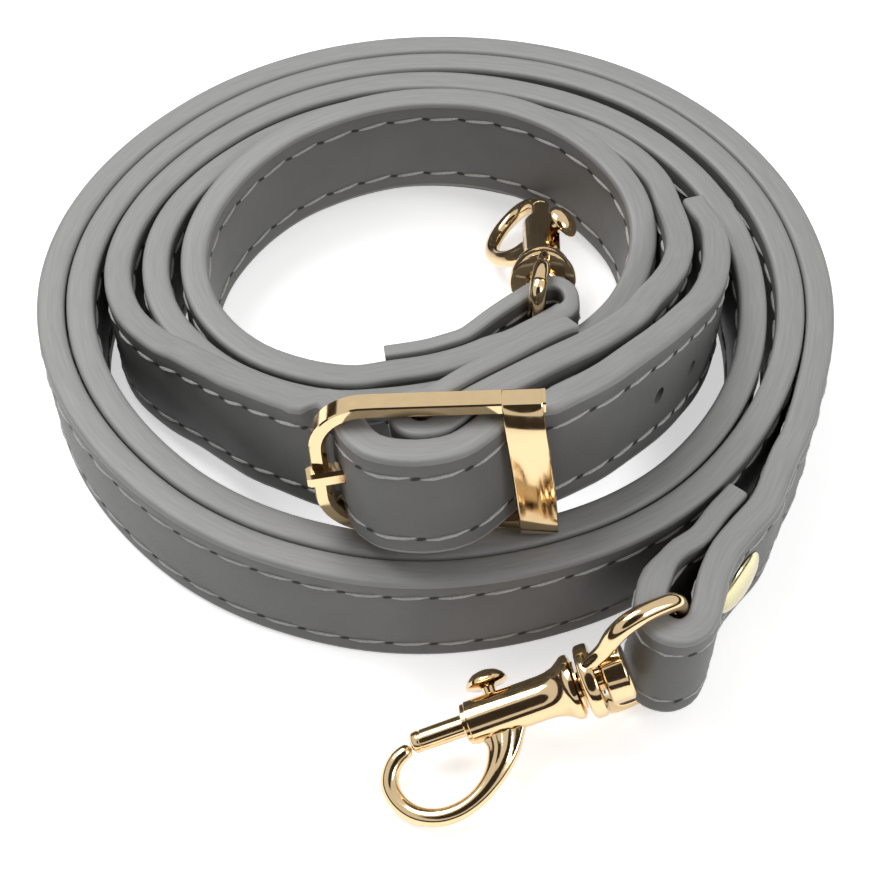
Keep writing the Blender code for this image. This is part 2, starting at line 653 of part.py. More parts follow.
def make_buckle(parts, tools, metal):
    """The frame with its horseshoe end, centre bar and keeper, and the prong on the bar."""
    left = -frame_length / 2
    keeper_right = frame_length / 2 - fit_gap
    keeper_left = keeper_right - keeper_width
    plate = rounded_plate("buckle_frame", outline(left, keeper_right, frame_height, end_corner, keeper_corner),
                          frame_depth)
    frame = add_object("buckle_frame", plate, parts, buckle_place, metal)
    rim = frame.modifiers.new("rim", "BEVEL")
    rim.width = frame_bevel
    rim.segments = 1
    rim.limit_method = "ANGLE"
    rim.angle_limit = math.radians(edge_angle)

    keeper_depth = frame_depth + keeper_rise
    block = rounded_plate("keeper_block", outline(keeper_left, keeper_right, frame_height,
                                                  keeper_corner / 2, keeper_corner), keeper_depth)
    keeper = add_object("keeper_block", block, tools, buckle_place @ Matrix.Translation((0, -keeper_rise / 2, 0)))
    rim = keeper.modifiers.new("rim", "BEVEL")
    rim.width = frame_bevel
    rim.segments = 1
    rim.limit_method = "ANGLE"
    rim.angle_limit = math.radians(edge_angle)
    boolean(frame, keeper, "UNION")

    opening = rounded_plate("opening", outline(left + end_width, keeper_left, opening_height,
                                               inner_corner, frame_bevel), 4 * frame_depth)
    boolean(frame, add_object("opening", opening, tools, buckle_place), "DIFFERENCE")
    channel_depth = 2 * keeper_depth
    channel = box_mesh("channel", (2 * keeper_width, channel_depth, opening_height))
    back = -frame_depth / 2 - keeper_rise + keeper_wall + channel_depth / 2
    place = buckle_place @ Matrix.Translation((keeper_right, back, 0))
    boolean(frame, add_object("channel", channel, tools, place), "DIFFERENCE")

    bar_length = opening_height + rail_height
    bar = add_object("centre_bar", rod_mesh("centre_bar", bar_radius, bar_length), tools,
                     buckle_place @ Matrix.Translation(bar_place - Vector((0, 0, bar_length / 2))))
    boolean(frame, bar, "UNION")

    prong_place, reach = prong_frame()
    groove = add_object("prong_groove", rod_mesh("prong_groove", prong_radius + fit_gap, end_width + inner_corner),
                        tools, prong_place @ Matrix.Translation((0, 0, reach - end_width - inner_corner / 2)))
    boolean(frame, groove, "DIFFERENCE")
    smooth_round(frame)

    shank = [(0, reach), (prong_radius / 2, reach), (prong_radius, reach - prong_radius),
             (prong_radius, bar_radius + fit_gap + sleeve_wall / 2), (0, bar_radius + fit_gap + sleeve_wall / 2)]
    prong = turned("prong", shank, parts, prong_place, metal, small_steps)
    sleeve = turned("prong_sleeve", ring_profile(bar_radius + fit_gap, sleeve_radius, -sleeve_height / 2,
                                                 sleeve_height / 2, sleeve_wall / 4),
                    tools, buckle_place @ Matrix.Translation(bar_place))
    boolean(prong, sleeve, "UNION")


def hook_wire_points():
    """The hook's wire: from its nib round the loop and into the barrel's side."""
    middle = Vector((loop_offset, 0, barrel_end + loop_ahead))
    points = []
    for k in range(loop_steps + 1):
        angle = math.radians(nib_angle + (loop_end_angle - nib_angle) * k / loop_steps)
        points.append(middle + hook_loop_radius * Vector((math.sin(angle), 0, math.cos(angle))))
    side = barrel_radius - hook_wire / 3
    for ahead, out in root_shares:
        points.append(Vector((side + out * hook_wire, 0, barrel_end + ahead * hook_wire)))
    return points


def make_hook(end, collar, tip_way, loop_way, head, bar, rise, parts, tools, metals):
    """One swivel snap hook: barrel and loop, bolt, thumb knob, spring, post, and the eye in the strap."""
    brass, steel = metals
    place = frame_of(Vector(collar), tip_way, loop_way)
    low = collar_half + fit_gap

    body_profile = [(0, barrel_end), (barrel_radius - barrel_chamfer, barrel_end),
                    (barrel_radius, barrel_end - barrel_chamfer), (barrel_radius, low + flare_length + cone_length),
                    (flare_radius, low + flare_length), (flare_radius, low), (0, low)]
    body = turned(end + "_hook", body_profile, parts, place, brass)
    loop = wire(end + "_hook_loop", hook_wire_points(), hook_wire, tools, place)
    boolean(body, loop, "UNION")
    bore = add_object(end + "_bore", rod_mesh("bore", barrel_bore, 2 * barrel_end, round_steps), tools,
                      place @ Matrix.Translation((0, 0, -barrel_end / 2)))
    boolean(body, bore, "DIFFERENCE")
    slot_ends = (stem_place - trigger_travel - stem_radius - fit_gap, stem_place + stem_radius + fit_gap)
    slot_size = (2 * barrel_radius, 2 * (stem_radius + fit_gap), slot_ends[1] - slot_ends[0])
    slot = add_object(end + "_slot", box_mesh("slot", slot_size), tools,
                      place @ Matrix.Translation((-barrel_radius - barrel_bore / 2, 0, sum(slot_ends) / 2)))
    boolean(body, slot, "DIFFERENCE")

    tip = barrel_end + bolt_reach
    back = stem_place - stem_radius - bolt_tail
    turned(end + "_bolt", [(0, tip), (bolt_radius / 2, tip), (bolt_radius, tip - bolt_radius / 2),
                           (bolt_radius, back), (0, back)], parts, place, brass)
    knob_place = place @ Matrix.Translation((0, 0, stem_place)) @ Matrix.Rotation(math.radians(-90), 4, "Y")
    disc = barrel_radius + stem_show
    knob_profile = [(out * knob_radius, disc + up * knob_height) for out, up in knob_dome_shares]
    knob_profile += [(stem_radius, disc), (stem_radius, bolt_radius + fit_gap), (0, bolt_radius + fit_gap)]
    turned(end + "_thumb_knob", knob_profile, parts, knob_place, brass, small_steps)

    head_radius, head_length = head
    chamfer = head_chamfer_share * head_radius
    post_profile = [(0, post_top), (post_radius, post_top), (post_radius, -low), (head_radius - chamfer, -low),
                    (head_radius, -low - chamfer), (head_radius, chamfer - low - head_length),
                    (head_radius - chamfer, -low - head_length), (0, -low - head_length)]
    turned(end + "_swivel_post", post_profile, parts, place, brass, round_steps)

    coil = []
    first = post_top + fit_gap + spring_wire
    length = back - fit_gap - spring_wire - first
    for k in range(spring_turns * spring_steps + 1):
        angle = 2 * math.pi * k / spring_steps
        coil.append((spring_radius * math.cos(angle), spring_radius * math.sin(angle),
                     first + length * k / (spring_turns * spring_steps)))
    print(end, "spring, least gap to itself in mm:", round((length / spring_turns - 2 * spring_wire) / mm, 3))
    wire(end + "_spring", coil, spring_wire, parts, place, steel, 1)
    make_eye(end, place, Vector(bar), rise, parts, tools, brass)


def make_eye(end, place, bar, rise, parts, tools, brass):
    """The eye: a collar round the post, and a stirrup that passes round the strap's wall to its bar."""
    eye = turned(end + "_eye", ring_profile(post_radius + fit_gap, collar_radius, -collar_half, collar_half,
                                            collar_half / 4), parts, place, brass)
    centre = place.to_translation()
    axis = place.to_3x3() @ Vector((0, 0, 1))
    up = (Vector((0, 0, 1)) - axis.z * axis).normalized()
    plan = Vector((bar.x - centre.x, bar.y - centre.y, 0))
    reach = plan.length
    ahead = plan / reach
    half = strap_width / 2 + fit_gap + eye_wire
    middle = rise + strap_width / 2
    points = []
    for side in (1, -1):
        root = centre + side * up * (collar_radius + arm_rise)
        end_height = middle + side * half
        arm = [root]
        for out, share in eye_arm_shares:
            height = root.z + (end_height - root.z) * share
            arm.append(Vector((centre.x, centre.y, 0)) + ahead * (out * collar_radius) + Vector((0, 0, height)))
        for back, down in eye_corner_shares:
            arm.append(Vector((centre.x, centre.y, 0)) + ahead * (reach - back * eye_wire)
                       + Vector((0, 0, end_height - side * down * eye_wire)))
        points += arm if side == 1 else arm[::-1]
    stirrup = wire(end + "_stirrup", points, eye_wire, tools, Matrix.Identity(4))
    boolean(eye, stirrup, "UNION")


def make_rivet(parts, metal):
    """The rivet that closes the front loop, and the small ring that holds it behind."""
    place = rivet_frame()
    seat = strap_thickness / 2 + seat_gap
    back = -strap_thickness / 2 - sewn_gap - front_tail_thickness - fit_gap
    profile = []
    for k in range(dome_steps + 1):
        angle = math.radians(90 * k / dome_steps)
        profile.append((rivet_radius * math.sin(angle), seat + rivet_rise * math.cos(angle)))
    profile += [(rivet_shank, seat), (rivet_shank, back - rivet_back_rise), (0, back - rivet_back_rise)]
    turned("front_rivet", profile, parts, place, metal)
    turned("front_rivet_back", ring_profile(rivet_shank + fit_gap, rivet_back_radius, back - rivet_back_rise,
                                            back, rivet_back_rise / 4), parts, place, metal)


def main():
    for old in list(bpy.data.objects):
        bpy.data.objects.remove(old)
    parts = new_collection("bag_strap")
    tools = new_collection("tools")
    leather = material("grey_leather", (0.13, 0.13, 0.125), 0.55, 0)
    brass = material("pale_brass", (0.72, 0.52, 0.27), 0.22, 1)
    steel = material("spring_steel", (0.45, 0.40, 0.33), 0.35, 1)
    rivet_metal = material("rivet_brass", (0.66, 0.58, 0.33), 0.28, 1)
    make_straps(parts, tools, leather)
    make_buckle(parts, tools, brass)
    for end, values in hooks.items():
        make_hook(end, *values, parts, tools, (brass, steel))
    make_rivet(parts, rivet_metal)


main()
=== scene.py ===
"""The looks of a detachable bag strap: two grey leather straps with stitched faces and painted edges,
joined by a small brass buckle, with a swivel snap hook at each end. Metres, +Z up."""
import math

import bmesh
import bpy
import numpy as np
from mathutils import Matrix, Vector


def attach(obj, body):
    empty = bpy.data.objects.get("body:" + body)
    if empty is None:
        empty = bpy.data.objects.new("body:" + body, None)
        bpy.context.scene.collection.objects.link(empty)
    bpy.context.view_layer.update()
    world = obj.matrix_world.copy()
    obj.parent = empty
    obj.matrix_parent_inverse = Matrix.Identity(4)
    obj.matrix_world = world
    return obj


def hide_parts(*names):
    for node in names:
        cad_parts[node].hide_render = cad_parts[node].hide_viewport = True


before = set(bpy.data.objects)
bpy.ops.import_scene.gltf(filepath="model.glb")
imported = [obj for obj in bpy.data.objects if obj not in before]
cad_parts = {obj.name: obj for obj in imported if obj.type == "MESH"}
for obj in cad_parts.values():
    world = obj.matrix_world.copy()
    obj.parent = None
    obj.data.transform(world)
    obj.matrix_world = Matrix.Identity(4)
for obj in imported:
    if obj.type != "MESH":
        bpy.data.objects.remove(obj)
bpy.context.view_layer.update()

mm = 0.001

# The two straps
strap_width = 12.0 * mm
strap_thickness = 2.38 * mm
turn_gap = 0.45 * mm
sewn_gap = 0.6 * mm
fit_gap = 0.3 * mm
fold_gap = 0.45 * mm
front_tail_thickness = 1.75 * mm
rear_tail_thickness = 1.3 * mm
rear_room_thickness = 2.0 * mm
fold_thickness = 1.5 * mm
tip_thickness = 2.1 * mm
punched_hole = 1.6 * mm

# The coil's plan is laid out on a grid of this step
plan_step = 10.0 * mm
sections_a_turn = 36

# The buckle: a flat frame with its centre bar and keeper cast on, and a prong
frame_length = 20.0 * mm
rail_height = 1.4 * mm
end_corner = 4.4 * mm
bar_radius = 0.6 * mm
prong_radius = 0.72 * mm
sleeve_wall = 0.6 * mm
sleeve_height = 2.0 * mm
buckle_roll = 3.0
buckle_lean = 5.0

# The snap hooks, alike at both ends
barrel_length = 8.25 * mm
flare_length = 0.9 * mm
cone_length = 1.3 * mm
trigger_travel = 3.0 * mm
stem_back = 2.8 * mm
collar_half = 0.5 * mm

most_bend = 23
fold_steps = 6
fold_start_angle = 75
fold_turn_angle = 210

# Where the buckle strap thins for the rear room, and where its sewn tail begins, as running angles
thin_angle = 1025
sewn_angle = 1015
sewn_points = 6

prong_tip_shares = (-1.02, -0.105)
hole_angles = (316, 331, 346)

# The coil's outline: its outer radius at every eighth of a turn, from +X, in plan steps
ring_shares = [3.86, 3.745, 3.58, 3.66, 3.86, 3.69, 3.57, 3.80]
ring_centre_share = 0.895

# Turns of the long strap: running angle, inset from the outline in pitches, rise in strap widths
long_turn_shares = [(326, -0.4, 0), (337, -0.08, 0), (350, 0, 0), (620, 0, 0), (656, 0.55, 0), (694, 1, 0),
                    (720, 1, 0), (980, 1, 0), (1015, 1.55, 0), (1050, 2.05, 0), (1080, 2.3, 0),
                    (1140, 2.3, 0), (1180, 2.02, 0), (1240, 2.02, 0), (1252, 2.08, 0), (1262, 2.3, 0.01),
                    (1272, 2.75, 0.06), (1282, 3.35, 0.145), (1292, 3.72, 0.29), (1302, 3.74, 0.445),
                    (1310, 3.53, 0.58)]

# The long strap's tip, past the buckle: running angle, inset, rise, and lean in degrees
tip_turn_shares = [(300, 2.9, 1.17, 5), (308, 3.4, 1.08, 5), (317, 3.75, 0.93, 5), (328, 4.05, 0.71, 3),
                   (340, 4.02, 0.49, 1), (352, 3.82, 0.33, 0), (363, 3.55, 0.22, 0), (373, 3.38, 0.14, 0),
                   (378, 3.36, 0.11, 0)]

# Turns of the buckle strap: running angle, outer radius in plan steps, rise in strap widths
short_turn_shares = [(303, 2.465, 1.092), (306, 2.44, 1.06), (312, 2.40, 0.98), (320, 2.35, 0.86),
                     (333, 2.30, 0.67), (347, 2.36, 0.47), (356, 2.43, 0.34), (365, 2.50, 0.24),
                     (373, 2.56, 0.16), (380, 2.62, 0.09), (388, 2.72, 0.03), (396, 2.79, 0),
                     (404, 2.80, 0), (430, 2.68, 0), (458, 2.69, 0), (471, 2.70, 0),
                     (490, 2.76, 0), (500, 2.80, 0), (510, 2.855, 0), (525, 2.92, 0), (535, 2.89, 0),
                     (543, 2.82, 0), (552, 2.71, 0), (557, 2.62, 0), (564, 2.50, 0), (571, 2.38, 0),
                     (578, 2.25, 0), (586, 2.11, 0), (597, 1.94, 0), (612, 1.71, 0), (624, 1.59, 0),
                     (636, 1.52, 0), (647, 1.49, 0), (659, 1.50, 0), (670, 1.53, 0), (677, 1.58, 0),
                     (686, 1.66, 0), (696, 1.76, 0), (705, 1.88, 0), (715, 2.01, 0), (725, 2.14, 0.01),
                     (734, 2.26, 0.04), (741, 2.33, 0.07), (748, 2.38, 0.11), (758, 2.40, 0.16),
                     (772, 2.405, 0.22), (785, 2.40, 0.26), (810, 2.38, 0.26), (831, 2.39, 0.25),
                     (856, 2.49, 0.17), (871, 2.54, 0.08), (884, 2.56, 0.03), (895, 2.50, 0),
                     (904, 2.43, 0), (914, 2.30, 0), (924, 2.15, 0), (931, 2.03, 0), (938, 1.90, 0),
                     (946, 1.76, 0), (957, 1.60, 0), (972, 1.37, 0.01), (984, 1.28, 0.03),
                     (996, 1.23, 0.04), (1007, 1.205, 0.06), (1019, 1.21, 0.08), (1030, 1.235, 0.09),
                     (1036, 1.265, 0.10), (1045, 1.34, 0.12), (1052, 1.405, 0.14), (1058, 1.475, 0.15)]

# Plan places in plan steps, with the rise in strap widths
front_leg_shares = [(2.92, -1.80, 0.01), (2.70, -2.08, 0.04), (2.495, -2.36, 0.08), (2.355, -2.68, 0.12)]
front_room_shares = [(2.28, -2.96, 0.155), (2.18, -3.15, 0.155), (2.04, -3.225, 0.155),
                     (1.89, -3.18, 0.155), (1.81, -3.05, 0.155), (1.815, -2.86, 0.155),
                     (1.87, -2.68, 0.14), (1.96, -2.52, 0.12), (2.08, -2.37, 0.10)]
rear_room_shares = [(1.30, 0.495, 0.155), (1.26, 0.605, 0.155), (1.16, 0.665, 0.16),
                    (1.03, 0.65, 0.16), (0.867, 0.549, 0.16), (0.70, 0.43, 0.15), (0.54, 0.305, 0.12),
                    (0.40, 0.185, 0.08)]
front_tail_length = 6.2 * mm
rear_tail_length = 7.4 * mm

# In the buckle's own frame: along it and towards its back in half frame lengths, and up in strap widths
bulge_shares = [(-0.96, 0.37, -0.13), (-0.79, 0.29, -0.035), (-0.665, 0.075, 0.002), (-0.575, -0.13, 0),
                (-0.43, -0.29, 0), (-0.20, -0.355, 0), (0.02, -0.355, 0), (0.25, -0.29, 0),
                (0.46, -0.12, 0), (0.61, 0.035, 0), (0.72, 0.11, 0), (0.95, 0.15, 0), (1.10, 0.24, 0)]
buckle_centre_shares = (-0.03, -2.005)
bar_place_shares = (-0.057, 0.06)
fold_ply_shares = [(0.11, -0.06, 0), (0.27, 0.115, 0), (0.49, 0.285, 0), (0.79, 0.505, -0.01),
                   (1.00, 0.68, -0.035)]
fold_ply_length = 13.0 * mm

pitch = strap_thickness + turn_gap
sleeve_radius = bar_radius + fit_gap + sleeve_wall
barrel_end = collar_half + fit_gap + flare_length + cone_length + barrel_length
stem_place = barrel_end - stem_back

# Each hook: its collar's middle, the way to its tip, the way its loop hangs, the radius and length of
# the post's head, the place of the eye's bar in plan, and how high the strap's loop stands
hooks = {
    "front": ((13.15 * mm, -33.45 * mm, 7.5 * mm), (-0.933, -0.215, -0.289), (0, -0.95, -0.31),
              (2.55 * mm, 2.7 * mm), (20.4 * mm, -29.7 * mm, 0), 1.86 * mm),
    "rear": ((10.6 * mm, 9.45 * mm, 11.0 * mm), (0.035, 0.948, -0.317), (-0.71, 0, -0.70),
             (1.6 * mm, 0.7 * mm), (9.7 * mm, 4.05 * mm, 0), 1.92 * mm),
}
ring_centre = Vector((0, ring_centre_share * plan_step))


def frame_of(place, along, side):
    """A matrix at the place with its Z along one direction and its X towards the other."""
    z = Vector(along).normalized()
    x = (Vector(side) - Vector(side).dot(z) * z).normalized()
    y = z.cross(x)
    matrix = Matrix((x, y, z)).transposed().to_4x4()
    matrix.translation = place
    return matrix


def ring_radius(angle):
    """The outline's radius, smoothly between its eight directions."""
    count = len(ring_shares)
    at = (angle % 360) / (360 / count)
    first = int(at)
    t = at - first
    a, b, c, d = (ring_shares[(first + k) % count] for k in (-1, 0, 1, 2))
    square = 2 * a - 5 * b + 4 * c - d
    cube = 3 * b - a - 3 * c + d
    return (2 * b + (c - a) * t + square * t ** 2 + cube * t ** 3) / 2 * plan_step


def slope(rows, k, column):
    """A slope at row k that keeps the curve through the rows free of overshoot."""
    if k in (0, len(rows) - 1):
        return 0
    before = rows[k][0] - rows[k - 1][0]
    after = rows[k + 1][0] - rows[k][0]
    rise_before = (rows[k][column] - rows[k - 1][column]) / before
    rise_after = (rows[k + 1][column] - rows[k][column]) / after
    if rise_before * rise_after <= 0:
        return 0
    weight = 2 * after + before
    other = after + 2 * before
    return (weight + other) / (weight / rise_before + other / rise_after)


def between(rows, angle, column):
    """A column's value at an angle, along a smooth curve through the rows."""
    k = max(i for i in range(len(rows) - 1) if rows[i][0] <= angle or i == 0)
    span = rows[k + 1][0] - rows[k][0]
    t = min(max((angle - rows[k][0]) / span, 0), 1)
    here = slope(rows, k, column) * span
    there = slope(rows, k + 1, column) * span
    return ((2 * t ** 3 - 3 * t ** 2 + 1) * rows[k][column] + (t ** 3 - 2 * t ** 2 + t) * here
            + (3 * t ** 2 - 2 * t ** 3) * rows[k + 1][column] + (t ** 3 - t ** 2) * there)


def on_ring(angle, radius, rise, lean, thickness):
    """A route point: plan place, middle height, lean as a slope of the stand, and thickness."""
    out = Vector((math.cos(math.radians(angle)), math.sin(math.radians(angle))))
    place = ring_centre + out * (radius - thickness / 2)
    stand = -out * math.tan(math.radians(lean))
    return (place.x, place.y, (rise + 0.5) * strap_width, stand.x, stand.y, thickness)


def angles(start, end):
    """Running angles for a strap's sections, at the same whole steps on every turn."""
    step = 360 / sections_a_turn
    inner = [k * step for k in range(math.ceil(start / step + 0.3), math.floor(end / step - 0.3) + 1)]
    return [start] + inner + [end]


def plan_points(shares, thickness):
    """Route points from places on the plan's grid."""
    return [(x * plan_step, y * plan_step, (rise + 0.5) * strap_width, 0, 0, thickness)
            for x, y, rise in shares]


def beside(points, count, length, side, thickness):
    """A tail sewn against the strap: the points' neighbours at one pitch to the side, up to a length."""
    made = []
    run = 0
    for k in range(count):
        here = Vector(points[k][:2])
        ahead = (Vector(points[k + 1][:2]) - Vector(points[max(k - 1, 0)][:2])).normalized()
        across = Vector((-ahead.y, ahead.x)) * side
        offset = points[k][5] / 2 + sewn_gap + thickness / 2
        spot = here + across * offset
        if made:
            step = (spot - Vector(made[-1][:2])).length
            if run + step > length:
                goal = (spot.x, spot.y, *points[k][2:5], thickness)
                share = (length - run) / step
                made.append(tuple(a + (b - a) * share for a, b in zip(made[-1], goal)))
                break
            run += step
        made.append((spot.x, spot.y, *points[k][2:5], thickness))
    return made


def blend(low, high, start, end, t):
    """The row at t on the straight line from one row at the start to another at the end."""
    return low + (high - low) * ((t - start) / (end - start))


def smoothed(points, longest, bend=most_bend):
    """The points joined by a centripetal curve, cut finer where it is long or bends."""
    rows = [np.array(point, float) for point in points]
    rows = [2 * rows[0] - rows[1]] + rows + [2 * rows[-1] - rows[-2]]
    made = []
    for k in range(1, len(rows) - 2):
        a, b, c, d = rows[k - 1:k + 3]
        first, span, last = (Vector(step[:3]) for step in (b - a, c - b, d - c))
        turn = math.degrees(first.angle(last))
        cuts = max(1, math.ceil(span.length / longest), math.ceil(turn / bend))
        knots = np.cumsum([0, math.sqrt(first.length), math.sqrt(span.length), math.sqrt(last.length)])
        for cut in range(cuts):
            t = knots[1] + (knots[2] - knots[1]) * cut / cuts
            low = blend(a, b, knots[0], knots[1], t)
            middle = blend(b, c, knots[1], knots[2], t)
            high = blend(c, d, knots[2], knots[3], t)
            before = blend(low, middle, knots[0], knots[2], t)
            after = blend(middle, high, knots[1], knots[3], t)
            made.append(blend(before, after, knots[1], knots[2], t))
    made.append(rows[-2])
    return made


# The buckle's frame: its bottom left corner rests on the turn under it
roll = math.radians(buckle_roll)
lean_back = math.radians(buckle_lean)
opening_height = strap_width + 3 * fit_gap
frame_height = opening_height + 2 * rail_height
buckle_up = Vector((-math.sin(roll), math.sin(lean_back), math.cos(roll) * math.cos(lean_back))).normalized()
buckle_right = Vector((math.cos(roll), 0, math.sin(roll)))
buckle_back = buckle_up.cross(buckle_right)
buckle_rise = strap_width + fit_gap / 2 + math.sin(roll) * frame_length / 2 + buckle_up.z * frame_height / 2
buckle_centre = Vector((*(share * plan_step for share in buckle_centre_shares), buckle_rise))
buckle_place = Matrix((buckle_right, buckle_back, buckle_up)).transposed().to_4x4()
buckle_place.translation = buckle_centre
bar_place = Vector((*bar_place_shares, 0)) * (frame_length / 2)


def in_buckle(along, back, thickness, up=0):
    """A route point given in the buckle's frame, standing along its upright."""
    spot = buckle_place @ Vector((along, back, up))
    return (spot.x, spot.y, spot.z, buckle_up.x / buckle_up.z, buckle_up.y / buckle_up.z, thickness)


def long_route():
    """The long strap: its tail, the room for the front eye, three turns, the bulge and the tip."""
    turns = [on_ring(a, ring_radius(a) - pitch * between(long_turn_shares, a, 1),
                     between(long_turn_shares, a, 2), 0, strap_thickness)
             for a in angles(long_turn_shares[0][0], long_turn_shares[-1][0])]
    leg = plan_points(front_leg_shares, strap_thickness)
    room = plan_points(front_room_shares, strap_thickness)
    outward = [turns[1], turns[0]] + leg[:3]
    tail = beside(outward[::-1], len(outward) - 1, front_tail_length, 1, front_tail_thickness)
    thinning = [point[:5] + (front_tail_thickness,) for point in room[-2:]]
    start = tail[::-1] + (room[:-2] + thinning)[::-1] + leg[::-1]
    half = frame_length / 2
    bulge = [in_buckle(x * half, y * half, strap_thickness, up * strap_width) for x, y, up in bulge_shares]
    tip = []
    for a in angles(tip_turn_shares[0][0], tip_turn_shares[-1][0]):
        thickness = tip_thickness if a > tip_turn_shares[-3][0] else strap_thickness
        tip.append(on_ring(a, ring_radius(a) - pitch * between(tip_turn_shares, a, 1),
                           between(tip_turn_shares, a, 2), between(tip_turn_shares, a, 3), thickness))
    return start + turns + bulge + tip


def short_route():
    """The buckle strap: the short ply, the fold round the bar, two turns, the rear eye's room, the tail."""
    ply = fold_thickness
    radius = bar_radius + fold_gap + ply / 2
    fold = []
    for k in range(fold_steps + 1):
        angle = math.radians(fold_start_angle + k * fold_turn_angle / fold_steps)
        around = radius * Vector((math.cos(angle), math.sin(angle), 0))
        fold.append(in_buckle(bar_place.x + around.x, bar_place.y + around.y, ply))
    half = frame_length / 2
    front = [in_buckle(x * half, y * half, strap_thickness, up * strap_width)
             for x, y, up in fold_ply_shares]
    front[0] = front[0][:5] + ((ply + strap_thickness) / 2,)
    rows = short_turn_shares
    turns = []
    for a in angles(rows[0][0], rows[-1][0]):
        thickness = strap_thickness if a < thin_angle else rear_room_thickness
        turns.append(on_ring(a, between(rows, a, 1) * plan_step, between(rows, a, 2), 0, thickness))
    room = plan_points(rear_room_shares, rear_tail_thickness)
    sewn = [k for k, a in enumerate(angles(rows[0][0], rows[-1][0])) if a < sewn_angle]
    tail = beside(turns[sewn[-1]::-1], sewn_points, rear_tail_length, -1, rear_tail_thickness)
    back = beside(front[1:] + turns, len(front) + sewn_points, fold_ply_length, 1, ply)
    return back[::-1] + fold + front + turns + room + tail


def prong_frame():
    """The prong's frame: its Z runs from the bar to the tip, its X up."""
    start = buckle_place @ bar_place
    tip = buckle_place @ (Vector((*prong_tip_shares, 0)) * (frame_length / 2))
    return frame_of(start, tip - start, buckle_up), (tip - start).length


def rivet_frame():
    """The rivet's frame: its Z points out of the leg, its origin is on the leg's middle sheet."""
    ends = [Vector(point[:3]) for point in plan_points(front_leg_shares[1:3], strap_thickness)]
    along = (ends[1] - ends[0]).normalized()
    return frame_of((ends[0] + ends[1]) / 2, Vector((-along.y, along.x, 0)), (0, 0, 1))


# Points nearer than the weld are one, and a rod's rounded ends are cut at these turns
weld = 0.0005 * mm
dome_turns = (25, 50, 80)


def add_piece(name, mesh, body, surface, place=None, smooth=40, node=None):
    """A shown piece that rides on a CAD body, with its colour slot, and the node it replaces."""
    made = bpy.data.objects.new(name, mesh)
    bpy.context.scene.collection.objects.link(made)
    if place is not None:
        made.matrix_world = place
    mesh.materials.append(surface)
    mesh.shade_smooth()
    mesh.set_sharp_from_angle(angle=math.radians(smooth))
    bpy.context.view_layer.update()
    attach(made, body)
    if node:
        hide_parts(node)
    return made


def mesh_of(name, points, faces):
    """A mesh from points and faces, with its normals outward."""
    mesh = bpy.data.meshes.new(name)
    mesh.from_pydata([tuple(point) for point in points], [], faces)
    shape = bmesh.new()
    shape.from_mesh(mesh)
    bmesh.ops.recalc_face_normals(shape, faces=shape.faces)
    shape.to_mesh(mesh)
    shape.free()
    return mesh


def loft(name, rings):
    """A closed skin over rings of points, all with the same count, with both ends capped."""
    count = len(rings[0])
    points = [point for ring in rings for point in ring]
    faces = []
    for k in range(len(rings) - 1):
        for i in range(count):
            j = (i + 1) % count
            faces.append((k * count + i, k * count + j, (k + 1) * count + j, (k + 1) * count + i))
    faces.append(tuple(range(count)))
    faces.append(tuple(range((len(rings) - 1) * count, len(rings) * count)))
    return mesh_of(name, points, faces)


def lathe(name, profile, steps=64):
    """A turned skin about Z from radii and heights. One that starts off the axis closes on itself."""
    rings = []
    for k in range(steps):
        angle = 2 * math.pi * k / steps
        rings.append([Vector((radius * math.cos(angle), radius * math.sin(angle), height))
                      for radius, height in profile])
    count = len(profile)
    around = count if profile[0][0] > 0 else count - 1
    faces = []
    for k in range(steps):
        for i in range(around):
            j = (i + 1) % count
            m = (k + 1) % steps
            faces.append((k * count + i, k * count + j, m * count + j, m * count + i))
    mesh = mesh_of(name, [point for ring in rings for point in ring], faces)
    shape = bmesh.new()
    shape.from_mesh(mesh)
    bmesh.ops.remove_doubles(shape, verts=shape.verts, dist=weld)
    shape.to_mesh(mesh)
    shape.free()
    return mesh


def tube(name, points, radii, sides=20, up=(0, 0, 1)):
    """A round rod along points, with a radius at each, and rounded ends."""
    points = [Vector(point) for point in points]
    skin = []
    for k, point in enumerate(points):
        along = (points[min(k + 1, len(points) - 1)] - points[max(k - 1, 0)]).normalized()
        across = along.cross(Vector(up)).normalized()
        rise = across.cross(along)
        way = 0
        turns = (0,)
        if k == 0:
            way = -1
            turns = (*dome_turns[::-1], 0)
        elif k == len(points) - 1:
            way = 1
            turns = (0, *dome_turns)
        for turn in turns:
            turn = math.radians(turn)
            centre = point + way * along * radii[k] * math.sin(turn)
            skin.append(ring_about(centre, across, rise, radii[k] * math.cos(turn), sides))
    return loft(name, skin)


def ring_about(centre, across, rise, radius, sides):
    """One ring of points across a rod."""
    turns = [2 * math.pi * i / sides for i in range(sides)]
    return [centre + across * radius * math.cos(turn) + rise * radius * math.sin(turn) for turn in turns]


# Materials: a colour's darkest and lightest shade, and the size and depth of the grain

leather_greys = ((0.122, 0.122, 0.120), (0.15, 0.15, 0.147))
edge_greys = ((0.245, 0.245, 0.242), (0.30, 0.30, 0.296))
thread_greys = ((0.40, 0.40, 0.39), (0.56, 0.56, 0.545))
pebble_scale = 2600
fine_scale = 5200
broad_scale = 160
twist_scale = 6000
mark_scale = 900
broad_streaks = (90, 900, 1)
fine_streaks = (260, 4200, 1)
leather_grain = 0.05 * mm
edge_grain = 0.08 * mm
thread_grain = 0.06 * mm
metal_grain = 0.08 * mm


